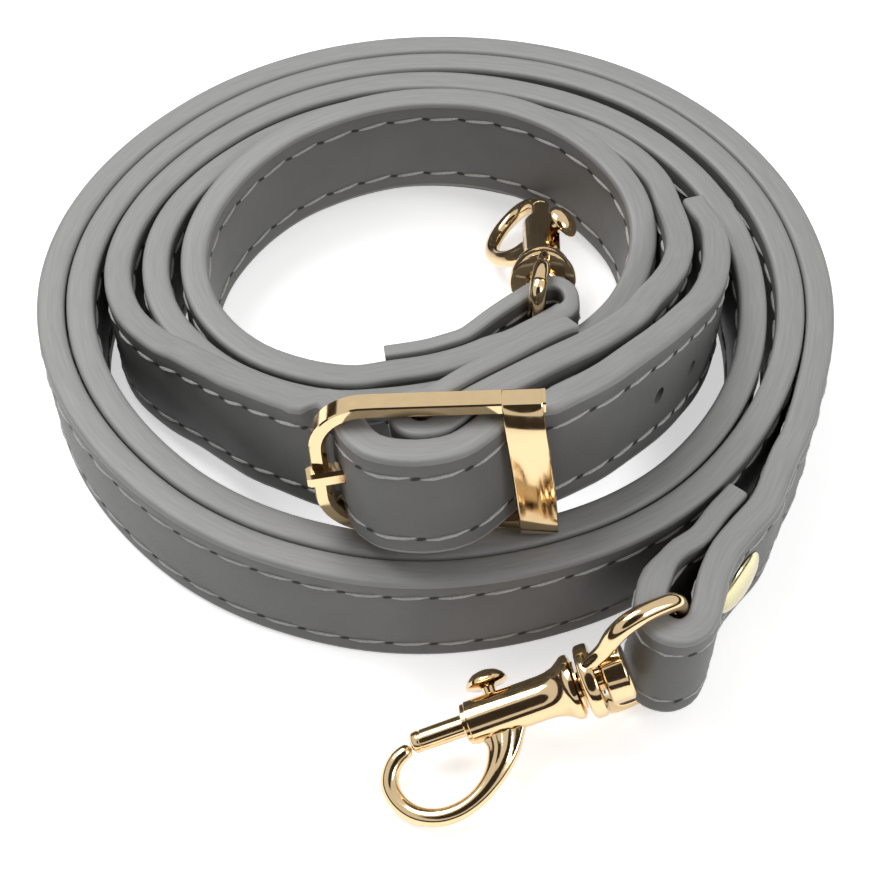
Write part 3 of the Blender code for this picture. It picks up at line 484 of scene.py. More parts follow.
def material(name, colour, roughness, metallic=0.0):
    """A node material and its parts: the nodes, the links and the shader."""
    made = bpy.data.materials.new(name)
    made.use_nodes = True
    nodes = made.node_tree.nodes
    shader = nodes["Principled BSDF"]
    shader.inputs["Base Color"].default_value = (*colour, 1)
    shader.inputs["Roughness"].default_value = roughness
    shader.inputs["Metallic"].default_value = metallic
    made.diffuse_color = (*colour, 1)
    return made, nodes, made.node_tree.links, shader


def noise(nodes, links, scale, detail=3.0, place="Object", stretch=None):
    """A noise texture on the object's own coordinates, or stretched along the strap on its UV."""
    spot = nodes.new("ShaderNodeTexCoord")
    made = nodes.new("ShaderNodeTexNoise")
    made.inputs["Scale"].default_value = scale
    made.inputs["Detail"].default_value = detail
    source = spot.outputs[place]
    if stretch:
        mapping = nodes.new("ShaderNodeMapping")
        mapping.inputs["Scale"].default_value = stretch
        links.new(source, mapping.inputs["Vector"])
        source = mapping.outputs["Vector"]
    links.new(source, made.inputs["Vector"])
    return made


def ramp(nodes, links, source, low, high, dark, light, socket):
    """A socket's colour, between two colours over part of a texture's range."""
    made = nodes.new("ShaderNodeValToRGB")
    made.color_ramp.elements[0].position = low
    made.color_ramp.elements[1].position = high
    made.color_ramp.elements[0].color = (*dark, 1)
    made.color_ramp.elements[1].color = (*light, 1)
    links.new(source, made.inputs["Fac"])
    links.new(made.outputs["Color"], socket)


def grain(nodes, links, source, strength, depth, shader):
    """A fine relief from a texture's value."""
    bump = nodes.new("ShaderNodeBump")
    bump.inputs["Strength"].default_value = strength
    bump.inputs["Distance"].default_value = depth
    links.new(source, bump.inputs["Height"])
    links.new(bump.outputs["Normal"], shader.inputs["Normal"])


def leather_face():
    """Grey grained leather: fine pebbles, small creases, and a soft change of tone."""
    made, nodes, links, shader = material("leather_face", (0.135, 0.135, 0.133), 0.52)
    spot = nodes.new("ShaderNodeTexCoord")
    pebble = nodes.new("ShaderNodeTexVoronoi")
    pebble.inputs["Scale"].default_value = pebble_scale
    links.new(spot.outputs["Object"], pebble.inputs["Vector"])
    fine = noise(nodes, links, fine_scale, 2.0)
    broad = noise(nodes, links, broad_scale, 4.0)
    mixed = nodes.new("ShaderNodeMath")
    mixed.operation = "ADD"
    links.new(pebble.outputs["Distance"], mixed.inputs[0])
    links.new(fine.outputs["Fac"], mixed.inputs[1])
    grain(nodes, links, mixed.outputs["Value"], 0.22, leather_grain, shader)
    ramp(nodes, links, broad.outputs["Fac"], 0.3, 0.75, *leather_greys, shader.inputs["Base Color"])
    ramp(nodes, links, fine.outputs["Fac"], 0.2, 0.8, (0.46,) * 3, (0.62,) * 3, shader.inputs["Roughness"])
    return made


def leather_edge():
    """The edge paint: lighter, smoother and a little uneven."""
    made, nodes, links, shader = material("edge_paint", (0.275, 0.275, 0.27), 0.5)
    broad = noise(nodes, links, 1.0, 3.0, "UV", broad_streaks)
    fine = noise(nodes, links, 1.0, 3.0, "UV", fine_streaks)
    grain(nodes, links, broad.outputs["Fac"], 0.25, edge_grain, shader)
    ramp(nodes, links, fine.outputs["Fac"], 0.3, 0.8, *edge_greys, shader.inputs["Base Color"])
    return made


def thread_material():
    """Off-white sewing thread with a fine twist."""
    made, nodes, links, shader = material("thread", (0.48, 0.48, 0.47), 0.7)
    twist = noise(nodes, links, twist_scale, 1.0)
    grain(nodes, links, twist.outputs["Fac"], 0.5, thread_grain, shader)
    ramp(nodes, links, twist.outputs["Fac"], 0.3, 0.7, *thread_greys, shader.inputs["Base Color"])
    return made


def gold(name, colour, roughness):
    """Polished plated metal with faint handling marks."""
    made, nodes, links, shader = material(name, colour, roughness, 1.0)
    marks = noise(nodes, links, mark_scale, 5.0).outputs["Fac"]
    smooth = (roughness * 0.8,) * 3
    dull = (roughness * 1.7,) * 3
    ramp(nodes, links, marks, 0.35, 0.8, smooth, dull, shader.inputs["Roughness"])
    grain(nodes, links, marks, 0.04, metal_grain, shader)
    darker = tuple(part * 0.94 for part in colour)
    ramp(nodes, links, marks, 0.3, 0.8, darker, colour, shader.inputs["Base Color"])
    return made


# The straps

edge_start = 5.45 * mm
row_height = 3.87 * mm
stitch_pitch = 3.9 * mm
stitch_length = 3.2 * mm
stitch_start = 2.5 * mm
stitch_margin = 3.0 * mm
stitch_slant = 0.3 * mm
thread_radius = 0.15 * mm
thread_sides = 6
thread_bands = [(-0.5, 0.25), (-0.42, 0.75), (-0.2, 1.0), (0.2, 1.0), (0.42, 0.75), (0.5, 0.25)]
# The painted shade patch for each needle hole: its length, height, slant, rise and dome
needle_length = 0.44 * mm
needle_height = 0.19 * mm
needle_slant = 0.08 * mm
needle_rise = 0.05 * mm
needle_dome = 0.03 * mm
needle_sides = 8
plump = 0.28 * mm
climb_rows = 6
steady_rows = 7
longest_section = 1.3 * mm
last_gap = 0.001 * mm

# Half of the section: a share of its half thickness, and a height in mm
section_shares = ((0.0, 6.0), (0.55, 6.0), (0.8, 5.95), (0.92, 5.84), (0.985, 5.66), (1.0, 5.45),
                  (1.01, 5.1), (1.01, 4.6), (0.99, 4.2), (0.95, 3.87), (0.98, 3.5), (1.01, 2.8),
                  (1.02, 1.4), (1.02, 0.0))


def section_profile():
    """The strap's cross section, from its half."""
    half = [(share, height * mm) for share, height in section_shares]
    right = half + [(share, -height) for share, height in half[-2::-1]]
    left = [(-share, height) for share, height in right[-2:0:-1]]
    return right + left


def fuller(route):
    """The route with the real strap's thickness, its height and tilt the mean of those around them."""
    made = []
    for k, row in enumerate(route):
        reach = min(steady_rows, k, len(route) - 1 - k)
        near = route[k - reach:k + reach + 1]
        steady = [sum(other[n] for other in near) / len(near) for n in (2, 3, 4)]
        made.append((*row[:2], *steady, row[5] + plump))
    return made


def sections(route):
    """Each section's middle, its way along, across and up, and its half thickness."""
    made = []
    for k, row in enumerate(route):
        low, high = strap_edges(route, k)
        along = Vector(route[min(k + 1, len(route) - 1)][:3]) - Vector(route[max(k - 1, 0)][:3])
        up = (high - low).normalized()
        across = along.cross(up).normalized()
        made.append(((low + high) / 2, along.normalized(), across, up, row[5] / 2))
    return made


def strap_piece(name, route, faces, edges):
    """One strap: its faces in leather, its painted edges, and its cut ends."""
    profile = section_profile()
    rings = [[middle + across * (share * half) + up * height for share, height in profile]
             for middle, _, across, up, half in sections(route)]
    mesh = loft(name, rings)
    made = add_piece(name + "_leather", mesh, "straps", faces, smooth=60, node=name)
    mesh.materials.append(edges)
    count = len(profile)
    flow = mesh.uv_layers.new(name="flow")
    run = 0
    runs = []
    for k, row in enumerate(route):
        if k:
            run += (Vector(row[:3]) - Vector(route[k - 1][:3])).length
        runs.append(run)
    for loop in mesh.loops:
        share, height = profile[loop.vertex_index % count]
        flow.data[loop.index].uv = (runs[loop.vertex_index // count], share * strap_thickness / 2 + height)
    for face in mesh.polygons:
        if len(face.vertices) > 4:
            face.material_index = 1
            continue
        heights = [abs(profile[i % count][1]) for i in face.vertices]
        if min(heights) >= edge_start:
            face.material_index = 1
    return made


def stitches(name, route, thread, dark):
    """Two rows of thread on both faces, each stitch between two needle holes, the holes' shade painted on as
    near-black patches.
    """
    rows = sections(route)
    middles = np.array([row[0] for row in rows])
    run = np.concatenate([[0], np.cumsum(np.linalg.norm(np.diff(middles, axis=0), axis=1))])
    threads = ([], [])
    hole_shades = ([], [])
    for n in range(int((run[-1] - stitch_margin) / stitch_pitch)):
        s = stitch_start + n * stitch_pitch
        for side in (-1, 1):
            for level in (-1, 1):
                add_stitch(threads, rows, run, s, side, level)
                add_needle_hole_shade(hole_shades, rows, run, s + stitch_pitch / 2, side, level)
    # The needle holes' pieces carry painted shade, a near-black material
    for kind, made, surface in (("_stitches", threads, thread), ("_needle_hole_shades", hole_shades, dark)):
        add_piece(name + kind, mesh_of(name, *made), "straps", surface)


def add_stitch(made, rows, run, s, side, level):
    """One stitch: a short rod that dips into the leather at both ends."""
    points, faces = made
    base = len(points)
    for place, size in thread_bands:
        middle, _, across, up, half = at_run(rows, run, s + place * stitch_length)
        lift = half * 0.955 + thread_radius * (0.42 if size > 0.9 else -0.1)
        centre = middle + across * side * lift + up * (level * row_height + place * stitch_slant * side)
        points += ring_about(centre, across, up * 1.15, thread_radius * size, thread_sides)
    for band in range(len(thread_bands) - 1):
        low = base + band * thread_sides
        high = low + thread_sides
        for i in range(thread_sides):
            j = (i + 1) % thread_sides
            faces.append((low + i, low + j, high + j, high + i))
    faces.append(tuple(range(base, base + thread_sides)))
    faces.append(tuple(range(len(points) - thread_sides, len(points))))


def add_needle_hole_shade(made, rows, run, s, side, level):
    """One needle hole's painted shade: a small near-black patch between two stitches, in place of the shade
    inside a real hole.
    """
    points, faces = made
    middle, along, across, up, half = at_run(rows, run, s)
    centre = middle + across * side * (half * 0.965 + needle_rise) + up * (level * row_height)
    base = len(points)
    long_way = along * needle_length + up * needle_slant
    points += ring_about(centre, long_way, up * needle_height, 1, needle_sides)
    points.append(centre + across * side * needle_dome)
    for i in range(needle_sides):
        faces.append((base + i, base + (i + 1) % needle_sides, base + needle_sides))


def at_run(rows, run, s):
    """A section at a distance along the strap."""
    s = min(max(s, 0), run[-1] - last_gap)
    k = int(np.searchsorted(run, s, side="right")) - 1
    t = (s - run[k]) / (run[k + 1] - run[k])
    mixed = [rows[k][i].lerp(rows[k + 1][i], t) for i in range(4)]
    return (*mixed, rows[k][4] * (1 - t) + rows[k + 1][4] * t)


def strap_edges(route, k):
    """The lower and upper edge of the strap's middle sheet, its climb read over a longer run."""
    spot = Vector(route[k][:3])
    flow = Vector(route[min(k + 1, len(route) - 1)][:3]) - Vector(route[max(k - 1, 0)][:3])
    first = max(k - climb_rows, 0)
    last = min(k + climb_rows, len(route) - 1)
    run = sum((Vector(route[n + 1][:2]) - Vector(route[n][:2])).length for n in range(first, last))
    flow.z = flow.xy.length * (route[last][2] - route[first][2]) / run
    along = flow.normalized()
    stand = Vector((route[k][3], route[k][4], 1))
    up = (stand - stand.dot(along) * along).normalized() * (strap_width / 2)
    return spot - up, spot + up


# The round cutters
cutter_steps = 32
cutter_start = 2 * mm
cutter_half = 2.5 * mm


def cut_away(made, cutters):
    """Takes cutters out of a piece for good."""
    for cutter in cutters:
        bpy.context.scene.collection.objects.link(cutter)
        modifier = made.modifiers.new("cut", "BOOLEAN")
        modifier.operation = "DIFFERENCE"
        modifier.object = cutter
    bpy.context.view_layer.update()
    finished = made.evaluated_get(bpy.context.evaluated_depsgraph_get())
    mesh = bpy.data.meshes.new_from_object(finished)
    made.modifiers.clear()
    made.data = mesh
    for cutter in cutters:
        bpy.data.objects.remove(cutter)


def rod_cutter(place, radius, low, high):
    """A round cutter along a frame's Z."""
    mesh = lathe("cutter", [(0, high), (radius, high), (radius, low), (0, low)], cutter_steps)
    cutter = bpy.data.objects.new("cutter", mesh)
    cutter.matrix_world = place
    return cutter


def make_straps():
    """Both straps with their stitching, and the long one's holes for the prong."""
    faces = leather_face()
    edges = leather_edge()
    thread = thread_material()
    # Painted shade: the needle holes are near-black patches on the leather, not cut holes
    dark = material("needle_hole_shade", (0.03, 0.03, 0.03), 0.8)[0]
    for name, route in (("long_strap", long_route()), ("buckle_strap", short_route())):
        rows = fuller(smoothed(route, longest_section))
        made = strap_piece(name, rows, faces, edges)
        if name == "long_strap":
            prong, reach = prong_frame()
            cutters = [rod_cutter(prong, prong_radius + fit_gap, sleeve_radius + cutter_start, reach)]
            for angle in hole_angles:
                spot = on_ring(angle, ring_radius(angle) - pitch * between(tip_turn_shares, angle, 1),
                               between(tip_turn_shares, angle, 2), 0, strap_thickness)
                out = Vector((math.cos(math.radians(angle)), math.sin(math.radians(angle)), 0))
                cutters.append(rod_cutter(frame_of(Vector(spot[:3]), out, (0, 0, 1)), punched_hole / 2,
                                          -cutter_half, cutter_half))
            cut_away(made, cutters)
        stitches(name, rows, thread, dark)


# The metal

def in_mm(shape):
    """A turned shape's table in metres."""
    return [(radius * mm, height * mm) for radius, height in shape]


# The hook's loop: along the hook and out from it in mm, and its half width and half thickness
loop_shares = [(8.2, 0.7, 2.15, 0.72), (8.4, 1.6, 2.0, 0.84), (8.75, 3.0, 1.45, 0.84),
               (9.75, 4.45, 1.05, 0.8), (10.9, 5.5, 0.88, 0.8), (12.4, 6.35, 0.8, 0.8),
               (14.2, 6.8, 0.8, 0.8), (16.0, 6.65, 0.8, 0.8), (17.7, 5.8, 0.8, 0.8),
               (18.8, 4.35, 0.8, 0.8), (19.1, 2.8, 0.8, 0.8), (18.6, 1.6, 0.78, 0.78),
               (17.75, 0.8, 0.74, 0.74), (17.0, 0.5, 0.68, 0.68)]

# Past its neck the rear hook is drawn a little shorter, to swing clear of the leather round it
loop_neck = 12.4
loop_draw = {"front": 1, "rear": 0.9}
loop_sides = 36
loop_step = 0.45 * mm
nib_shares = ((0.87, 0.5), (0.55, 0.8), (0.2, 0.95))

# The slot for the knob's stem
slot_room = 0.9 * mm
slot_half = 0.72 * mm
slot_depth = 3 * mm
slot_steps = 17

# Turned shapes, as a radius and a height in mm: the hook's barrel, bolt and knob, and the eye's collar
barrel_shape = [(1.05, 11.35), (1.6, 11.35), (1.8, 11.2), (1.8, 10.9), (1.92, 10.8), (1.92, 4.2),
                (2.0, 3.4), (2.2, 2.7), (2.55, 2.15), (2.8, 1.8), (2.86, 1.5), (2.8, 1.2), (2.5, 1.05),
                (2.1, 1.0), (2.1, 0.85), (1.05, 0.85)]
bolt_shape = [(0, 16.26), (0.62, 16.26), (0.84, 16.15), (0.97, 15.95), (0.97, 15.5), (0.9, 15.42),
              (0.9, 15.3), (0.97, 15.22), (0.97, 8.0), (0.73, 8.0), (0.73, 11.0), (0, 11.0)]
knob_shape = [(0, 3.95), (0.7, 3.88), (1.25, 3.66), (1.65, 3.3), (1.86, 2.9), (1.84, 2.72),
              (1.65, 2.62), (0.9, 2.55), (0.62, 2.4), (0.58, 2.1), (0.58, 1.0), (0, 1.0)]
collar_shape = [(1.2, 0.55), (2.75, 0.55), (3.0, 0.5), (3.2, 0.32), (3.25, 0.1), (3.25, -0.45),
                (3.15, -0.7), (2.95, -0.8), (1.2, -0.8)]
fine_steps = 72
knob_steps = 48
post_round = 0.12 * mm
long_head = 1 * mm

# The spring seen through the slot
coil_turns = 6
coil_steps = 20
coil_radius = 0.52 * mm
coil_wire = 0.15 * mm
coil_low = 3.35 * mm
coil_high = 7.75 * mm

# The eye's stirrup: its arm's places out from the collar in mm, shares of its climb, and radii in mm, and
# its corner's places back from the bar and down in mm
stirrup_arm = ((1.0, 0.34, 0.74), (1.8, 0.68, 0.84), (2.9, 0.91, 0.86), (4.2, 1.0, 0.86))
stirrup_corner = ((1.7, 0.1), (0.75, 0.35), (0.2, 1.0), (0, 2.0))
stirrup_wire = 0.84 * mm
stirrup_root = 2.7 * mm
stirrup_sink = 0.25 * mm
root_wire = 0.62 * mm
stirrup_step = 0.5 * mm
stirrup_bend = 12


def drawn(end, along):
    """A place along one end's hook, in mm."""
    return min(along, loop_neck) + max(along - loop_neck, 0) * loop_draw[end]


def loop_loft(name, place, end):
    """The hook's loop: broad and ridged where it grows out of the barrel, and round to its nib."""
    rows = [(out * mm, 0, drawn(end, along) * mm, wide * mm, tall * mm)
            for along, out, wide, tall in loop_shares]
    rows = smoothed(rows, loop_step)
    rings = []
    for k, row in enumerate(rows):
        point = Vector(row[:3])
        way = (Vector(rows[min(k + 1, len(rows) - 1)][:3]) - Vector(rows[max(k - 1, 0)][:3])).normalized()
        across = Vector((0, 1, 0))
        out = across.cross(way)
        wide, tall = row[3:5]
        ridged = min(max((wide - 0.88 * mm) / mm, 0), 1)
        shape = []
        for i in range(loop_sides):
            turn = 2 * math.pi * i / loop_sides
            u = math.cos(turn)
            rise = math.copysign(abs(math.sin(turn)) ** (1 - 0.3 * ridged), math.sin(turn))
            rise *= 1 - 0.3 * ridged * math.sin(math.pi * (1.5 * u + 0.5)) ** 2
            shape.append((u * wide, rise * tall))
        rings.append([point + out * x + across * y for x, y in shape])
        if k == len(rows) - 1:
            for share, ahead in nib_shares:
                rings.append([point + way * (tall * ahead) + out * (x * share) + across * (y * share)
                              for x, y in shape])
    return loft(name, [[place @ point for point in ring] for ring in rings])


def slot_cutter(place):
    """A round-ended slot through one side of the barrel."""
    low = stem_place - trigger_travel - slot_room
    high = stem_place + slot_room
    shape = []
    for k in range(2 * slot_steps):
        turn = math.pi * (k - k // slot_steps) / (slot_steps - 1)
        middle = high - slot_half if k < slot_steps else low + slot_half
        shape.append((slot_half * math.cos(turn), middle + slot_half * math.sin(turn)))
    rings = [[Vector((x, y, z)) for y, z in shape] for x in (-slot_depth, 0)]
    cutter = bpy.data.objects.new("cutter", loft("cutter", rings))
    cutter.matrix_world = place
    return cutter


def rounded(profile, radius, steps=4):
    """A turned profile with its corners rounded off, the ends left alone."""
    made = [Vector(profile[0])]
    for before, corner, after in zip(profile, profile[1:], profile[2:]):
        before, corner, after = Vector(before), Vector(corner), Vector(after)
        size = min(radius, (before - corner).length * 0.45, (after - corner).length * 0.45)
        start = corner + (before - corner).normalized() * size
        end = corner + (after - corner).normalized() * size
        for k in range(steps + 1):
            t = k / steps
            made.append(start.lerp(corner, t).lerp(corner.lerp(end, t), t))
    made.append(Vector(profile[-1]))
    return [(point.x, point.y) for point in made]


def make_hook(end, collar, tip_way, loop_way, head, bar, rise, metals):
    """One swivel snap hook in full detail, over its CAD pieces."""
    bright, coil_metal = metals
    hook = end + "_hook"
    place = frame_of(Vector(collar), tip_way, loop_way)
    shell = lathe("barrel", in_mm(barrel_shape), fine_steps)
    body = add_piece(end + "_barrel", shell, hook, bright, place, node=hook)
    cut_away(body, [slot_cutter(place)])
    body.data.shade_smooth()
    body.data.set_sharp_from_angle(angle=math.radians(35))
    add_piece(end + "_loop", loop_loft("loop", place, end), hook, bright, smooth=60)

    bolt = in_mm([(radius, drawn(end, height)) for radius, height in bolt_shape])
    add_piece(end + "_latch", lathe("latch", bolt, knob_steps), end + "_trigger", bright, place,
              node=end + "_bolt")
    side = place @ Matrix.Translation((0, 0, stem_place)) @ Matrix.Rotation(math.radians(-90), 4, "Y")
    knob = lathe("knob", in_mm(knob_shape), knob_steps)
    add_piece(end + "_trigger_knob", knob, end + "_trigger", bright, side, node=end + "_thumb_knob")
    make_post(end, place, head, bright)

    points = []
    for k in range(coil_turns * coil_steps + 1):
        angle = 2 * math.pi * k / coil_steps
        height = coil_low + (coil_high - coil_low) * k / (coil_turns * coil_steps)
        around = Vector((coil_radius * math.cos(angle), coil_radius * math.sin(angle), height))
        points.append(place @ around)
    coil = tube("coil", points, [coil_wire] * len(points), sides=8)
    add_piece(end + "_coil", coil, hook, coil_metal, smooth=60, node=end + "_spring")
    make_eye(end, place, Vector(bar), rise, bright)


def make_post(end, place, head, bright):
    """The swivel post, and its head behind the collar: a long can in front, a button at the rear."""
    reach, length = head
    shoulder = -1.3 if length > long_head else -0.95
    foot = -0.8 - length / mm
    wide = reach / mm
    post = [(0, 3.0), (0.85, 3.0), (0.85, 0.9), (1.15, 0.8), (1.15, shoulder + 0.1), (wide - 0.25, shoulder),
            (wide + 0.05, shoulder - 0.15), (wide + 0.05, foot + 0.25), (wide - 0.2, foot), (0, foot)]
    turned = lathe("post", rounded(in_mm(post), post_round))
    add_piece(end + "_post", turned, end + "_hook", bright, place, node=end + "_swivel_post")


def make_eye(end, place, bar, rise, bright):
    """The eye: a thick collar on the post, and the stirrup through the strap's fold."""
    eye = end + "_eye"
    ring = lathe("collar", in_mm(collar_shape), fine_steps)
    add_piece(end + "_collar", ring, eye, bright, place, node=eye)
    centre = place.to_translation()
    axis = place.to_3x3() @ Vector((0, 0, 1))
    up = (Vector((0, 0, 1)) - axis.z * axis).normalized()
    plan = Vector((bar.x - centre.x, bar.y - centre.y, 0))
    reach = plan.length
    ahead = plan / reach
    half = strap_width / 2 + fit_gap + stirrup_wire
    middle = rise + strap_width / 2
    foot = Vector((centre.x, centre.y, 0))
    points = []
    for side in (1, -1):
        root = centre + side * up * stirrup_root - axis * stirrup_sink
        high = middle + side * half
        arm = [(*root, root_wire)]
        for out, share, size in stirrup_arm:
            spot = foot + ahead * (out * mm) + Vector((0, 0, root.z + (high - root.z) * share))
            arm.append((*spot, size * mm))
        for back, down in stirrup_corner:
            spot = foot + ahead * (reach - back * mm) + Vector((0, 0, high - side * down * mm))
            arm.append((*spot, stirrup_wire))
        points += arm if side == 1 else arm[::-1]
    route = smoothed(points, stirrup_step, stirrup_bend)
    mesh = tube("stirrup", [row[:3] for row in route], [row[3] for row in route], 24, ahead.cross((0, 0, 1)))
    add_piece(end + "_stirrup", mesh, eye, bright, smooth=60)


# The buckle's frame: its rail, its corners, and the rail's section in shares of its width and depths in mm
rail_width = 1.42 * mm
rail_end_room = 0.4 * mm
rail_step = 3.0 * mm
rail_lead = 0.8 * mm
round_corner = end_corner + 0.6 * mm
corner_steps = 12
rail_section = ((-0.5, 0.85), (0.5, 0.85), (0.5, -0.45), (0.22, -0.85), (-0.42, -0.85), (-0.5, -0.72))

# The keeper in mm: half of its outer and inner outline as depths and heights, and how it leans and stretches
keeper_outer = ((0.85, 7.85), (-0.95, 7.85), (-1.2, 7.62), (-1.52, 7.05), (-1.82, 6.5), (-2.06, 5.95),
                (-2.2, 5.4), (-2.28, 4.4), (-2.32, 2.2), (-2.33, 0))
keeper_inner = ((-1.42, 0), (-1.4, 2.2), (-1.3, 4.6), (-1.15, 6.1), (-0.95, 6.42), (0.85, 6.45))
keeper_low = 7.32
keeper_lean = 1.3
keeper_span = 15.7
keeper_curve = 1.6
keeper_stretch = 1.05
keeper_drop = 0.3
keeper_broad = 3.3 * mm
keeper_bevel = 0.14 * mm


def frame_sweep():
    """The buckle's frame: one flat bevelled bar round from the keeper's top to its bottom."""
    top = frame_height / 2
    inset = rail_width / 2
    right = frame_length / 2 - rail_end_room
    bend = -frame_length / 2 + round_corner
    radius = round_corner - inset
    line = [(x, top - inset) for x in (right, right - rail_step, 0, bend + rail_lead)]
    for k in range(1, corner_steps + 1):
        turn = math.radians(90 + 90 * k / corner_steps)
        line.append((bend + radius * math.cos(turn), top - round_corner + radius * math.sin(turn)))
    line += [(x, -z) for x, z in line[::-1]]
    rings = []
    for k, (x, z) in enumerate(line):
        way = (Vector(line[min(k + 1, len(line) - 1)]) - Vector(line[max(k - 1, 0)])).normalized()
        out = Vector((way.y, -way.x))
        ring = []
        for share, depth in rail_section:
            spot = Vector((x, z)) - out * share * rail_width
            ring.append(buckle_place @ Vector((spot.x, depth * mm, spot.y)))
        rings.append(ring)
    return loft("frame", rings)


def keeper_mesh():
    """The keeper: a broad band that stands proud across the strap, closed onto both rails."""
    outer = [*keeper_outer, *[(depth, -height) for depth, height in keeper_outer[-2::-1]]]
    inner = [*[(depth, -height) for depth, height in keeper_inner[:0:-1]], *keeper_inner]
    shape = bmesh.new()
    verts = []
    for depth, height in outer + inner:
        left = keeper_low - keeper_lean * (height / keeper_span + 0.5) ** keeper_curve
        rise = keeper_stretch * height - keeper_drop
        verts.append(shape.verts.new((left * mm, depth * mm, rise * mm)))
    face = shape.faces.new(verts)
    grown = bmesh.ops.extrude_face_region(shape, geom=[face])
    moved = [item for item in grown["geom"] if isinstance(item, bmesh.types.BMVert)]
    bmesh.ops.translate(shape, vec=(keeper_broad, 0, 0), verts=moved)
    bmesh.ops.recalc_face_normals(shape, faces=shape.faces)
    sharp = [edge for edge in shape.edges if edge.calc_face_angle(0) > math.radians(50)]
    bmesh.ops.bevel(shape, geom=sharp, offset=keeper_bevel, segments=2, affect="EDGES", profile=0.5)
    bmesh.ops.transform(shape, matrix=buckle_place, verts=shape.verts)
    mesh = bpy.data.meshes.new("keeper")
    shape.to_mesh(mesh)
    shape.free()
    return mesh


# The centre bar and the prong: half the bar's length, the prong's section in mm, and its shares of the
# way from the bar to the tip with the section's size at each
bar_half = 7.2 * mm
bar_steps = 24
prong_section = ((0.82, 0.5), (0.5, 0.78), (-0.5, 0.78), (-0.82, 0.5), (-0.82, -0.5), (-0.5, -0.78),
                 (0.5, -0.78), (0.82, -0.5))
prong_shares = ((0.0, 0.9), (0.9, 1.0), (0.97, 0.95), (1.0, 0.8))
prong_past = 0.25 * mm
sleeve_gap = 0.1 * mm
sleeve_steps = 40


def make_buckle(bright):
    """The frame, its keeper and centre bar, and the prong."""
    add_piece("frame_ring", frame_sweep(), "straps", bright, smooth=25, node="buckle_frame")
    add_piece("keeper_band", keeper_mesh(), "straps", bright, smooth=30)
    bar = lathe("bar", [(0, bar_half), (bar_radius, bar_half), (bar_radius, -bar_half), (0, -bar_half)],
                bar_steps)
    place = buckle_place @ Matrix.Translation(bar_place)
    add_piece("frame_bar", bar, "straps", bright, place)
    prong_place, reach = prong_frame()
    start = sleeve_radius * 0.8
    rings = []
    for share, size in prong_shares:
        along = start + (reach + prong_past - start) * share
        scale = size * mm
        rings.append([prong_place @ Vector((x * scale, y * scale, along)) for x, y in prong_section])
    add_piece("prong_bar", loft("prong_bar", rings), "prong", bright, smooth=30, node="prong")
    hollow = bar_radius + sleeve_gap
    half = sleeve_height / 2
    outline = [(hollow, half), (sleeve_radius, half), (sleeve_radius, -half), (hollow, -half)]
    sleeve = lathe("sleeve", outline, sleeve_steps)
    add_piece("prong_eye", sleeve, "prong", bright, place)


# The rivet: its rise from the leather, and its turned shape in mm
rivet_rise = 0.15 * mm
dome_shape = [(0, 0.9), (0.8, 0.87), (1.6, 0.78), (2.3, 0.62), (2.8, 0.42), (3.1, 0.22), (3.15, 0.1),
              (3.0, 0.0), (0.8, 0.0), (0.8, -4.2), (0, -4.2)]


def make_rivet(metal):
    """The rivet's dome with its rolled rim, and the ring behind the tail."""
    seat = strap_thickness / 2 + rivet_rise
    dome = lathe("dome", [(radius, seat + height) for radius, height in in_mm(dome_shape)])
    add_piece("rivet_dome", dome, "straps", metal, rivet_frame(), node="front_rivet")
    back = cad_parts["front_rivet_back"].data.materials
    back.clear()
    back.append(metal)


# Floor, lamps and camera

def seen_directly(nodes, links):
    """One where a ray comes from the camera, a reflection or a clear piece, and zero elsewhere."""
    path = nodes.new("ShaderNodeLightPath")
    total = path.outputs["Is Camera Ray"]
    for kind in ("Is Glossy Ray", "Is Transmission Ray"):
        more = nodes.new("ShaderNodeMath")
        more.operation = "MAXIMUM"
        links.new(total, more.inputs[0])
        links.new(path.outputs[kind], more.inputs[1])
        total = more.outputs["Value"]
    return total


# The floor, a hair under the part, and how much it glows of its own
floor_reach = 1.5
floor_place = (0, 0, -0.0001)
floor_colour = (0.86, 0.86, 0.86)
floor_roughness = 0.9
floor_glow = 0.56

# The flags: a low wall round the floor, and a round card in front, as radii and heights
low_flag = ((0.55, 0.17), (0.55, 0.0))
low_flag_steps = 64
front_flag = ((0.11, 0), (0.0, 0))
front_flag_steps = 32
front_flag_place = (0.0, -0.135, 0.178)
front_flag_tilt = (math.radians(37), 0, 0)

# The white surround's strength for the light it gives, and as it is seen
surround_light = 0.5
surround_seen = 1.0


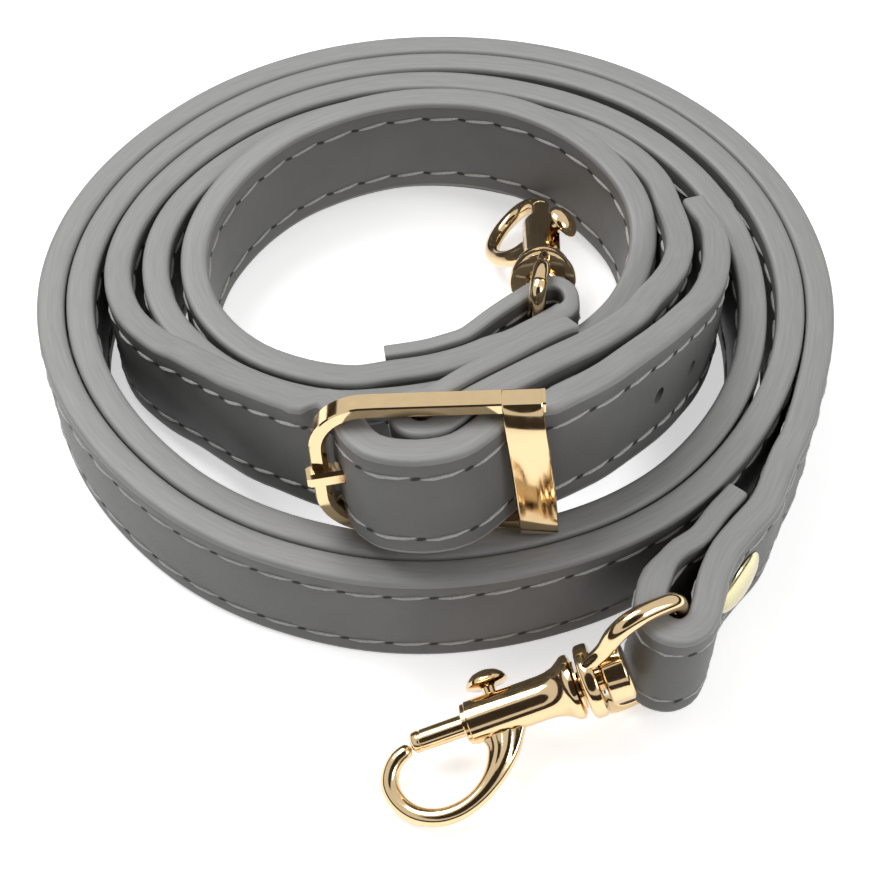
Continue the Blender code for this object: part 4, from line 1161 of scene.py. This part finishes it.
def make_stage():
    """A white floor that keeps a soft shadow, a white surround, and dark flags for the metal to show."""
    mesh = bpy.data.meshes.new("floor")
    mesh.from_pydata([(-floor_reach, -floor_reach, 0), (floor_reach, -floor_reach, 0),
                      (floor_reach, floor_reach, 0), (-floor_reach, floor_reach, 0)], [], [(0, 1, 2, 3)])
    floor = bpy.data.objects.new("floor", mesh)
    floor.location = floor_place
    bpy.context.scene.collection.objects.link(floor)
    surface, nodes, links, shader = material("floor_white", floor_colour, floor_roughness)
    share = nodes.new("ShaderNodeMath")
    share.operation = "MULTIPLY"
    share.inputs[1].default_value = floor_glow
    links.new(seen_directly(nodes, links), share.inputs[0])
    shader.inputs["Emission Color"].default_value = (1, 1, 1, 1)
    links.new(share.outputs["Value"], shader.inputs["Emission Strength"])
    mesh.materials.append(surface)

    dark = material("flag", (0.03, 0.022, 0.016), 0.9)[0]
    add_flag("low_flag", low_flag, low_flag_steps, dark)
    card = add_flag("front_flag", front_flag, front_flag_steps, dark)
    card.location = front_flag_place
    card.rotation_euler = front_flag_tilt

    world = bpy.data.worlds.new("studio")
    bpy.context.scene.world = world
    world.use_nodes = True
    nodes = world.node_tree.nodes
    links = world.node_tree.links
    plain = nodes["Background"]
    plain.inputs["Color"].default_value = (1, 1, 1, 1)
    plain.inputs["Strength"].default_value = surround_light
    white = nodes.new("ShaderNodeBackground")
    white.inputs["Strength"].default_value = surround_seen
    mix = nodes.new("ShaderNodeMixShader")
    links.new(seen_directly(nodes, links), mix.inputs["Fac"])
    links.new(plain.outputs["Background"], mix.inputs[1])
    links.new(white.outputs["Background"], mix.inputs[2])
    links.new(mix.outputs["Shader"], nodes["World Output"].inputs["Surface"])


def add_flag(name, profile, steps, surface):
    """An open turned sheet that the camera doesn't see."""
    points = []
    for radius, height in profile:
        for i in range(steps):
            angle = 2 * math.pi * i / steps
            points.append((radius * math.cos(angle), radius * math.sin(angle), height))
    faces = [(i, (i + 1) % steps, steps + (i + 1) % steps, steps + i) for i in range(steps)]
    mesh = bpy.data.meshes.new(name)
    mesh.from_pydata(points, [], faces)
    mesh.materials.append(surface)
    made = bpy.data.objects.new(name, mesh)
    bpy.context.scene.collection.objects.link(made)
    made.visible_camera = False
    return made


def lamp(name, place, size, power):
    """A soft area lamp turned to the part."""
    light = bpy.data.lights.new(name, "AREA")
    light.shape = "RECTANGLE"
    light.size = size
    light.size_y = size
    light.energy = power
    made = bpy.data.objects.new(name, light)
    bpy.context.scene.collection.objects.link(made)
    made.location = place
    made.rotation_euler = (-Vector(place)).to_track_quat("-Z", "Y").to_euler()


# The camera's lens in mm, where it stands, and what it is aimed at
camera_lens = 71.8
camera_sensor = 36
camera_near = 0.01
camera_place = (0, -0.10605, 0.1378)
camera_aim = (0, -0.00145, 0)


def make_camera():
    """The photograph's camera."""
    camera = bpy.data.cameras.new("camera")
    camera.lens = camera_lens
    camera.sensor_width = camera_sensor
    camera.clip_start = camera_near
    made = bpy.data.objects.new("camera", camera)
    bpy.context.scene.collection.objects.link(made)
    made.location = camera_place
    aim = Vector(camera_aim) - made.location
    made.rotation_euler = aim.to_track_quat("-Z", "Y").to_euler()
    bpy.context.scene.camera = made


make_straps()
bright = gold("bright_gold", (0.83, 0.62, 0.36), 0.09)
coil_metal = gold("coppery_wire", (0.50, 0.30, 0.16), 0.25)
for end, values in hooks.items():
    make_hook(end, *values, (bright, coil_metal))
make_buckle(bright)
make_rivet(gold("rivet_gold", (0.72, 0.66, 0.40), 0.22))
make_stage()
lamp("key", (-0.2, 0.15, 0.45), 0.3, 1.9)
lamp("fill", (0.3, -0.2, 0.35), 0.2, 0.7)
make_camera()
bpy.context.scene.view_settings.view_transform = "Standard"
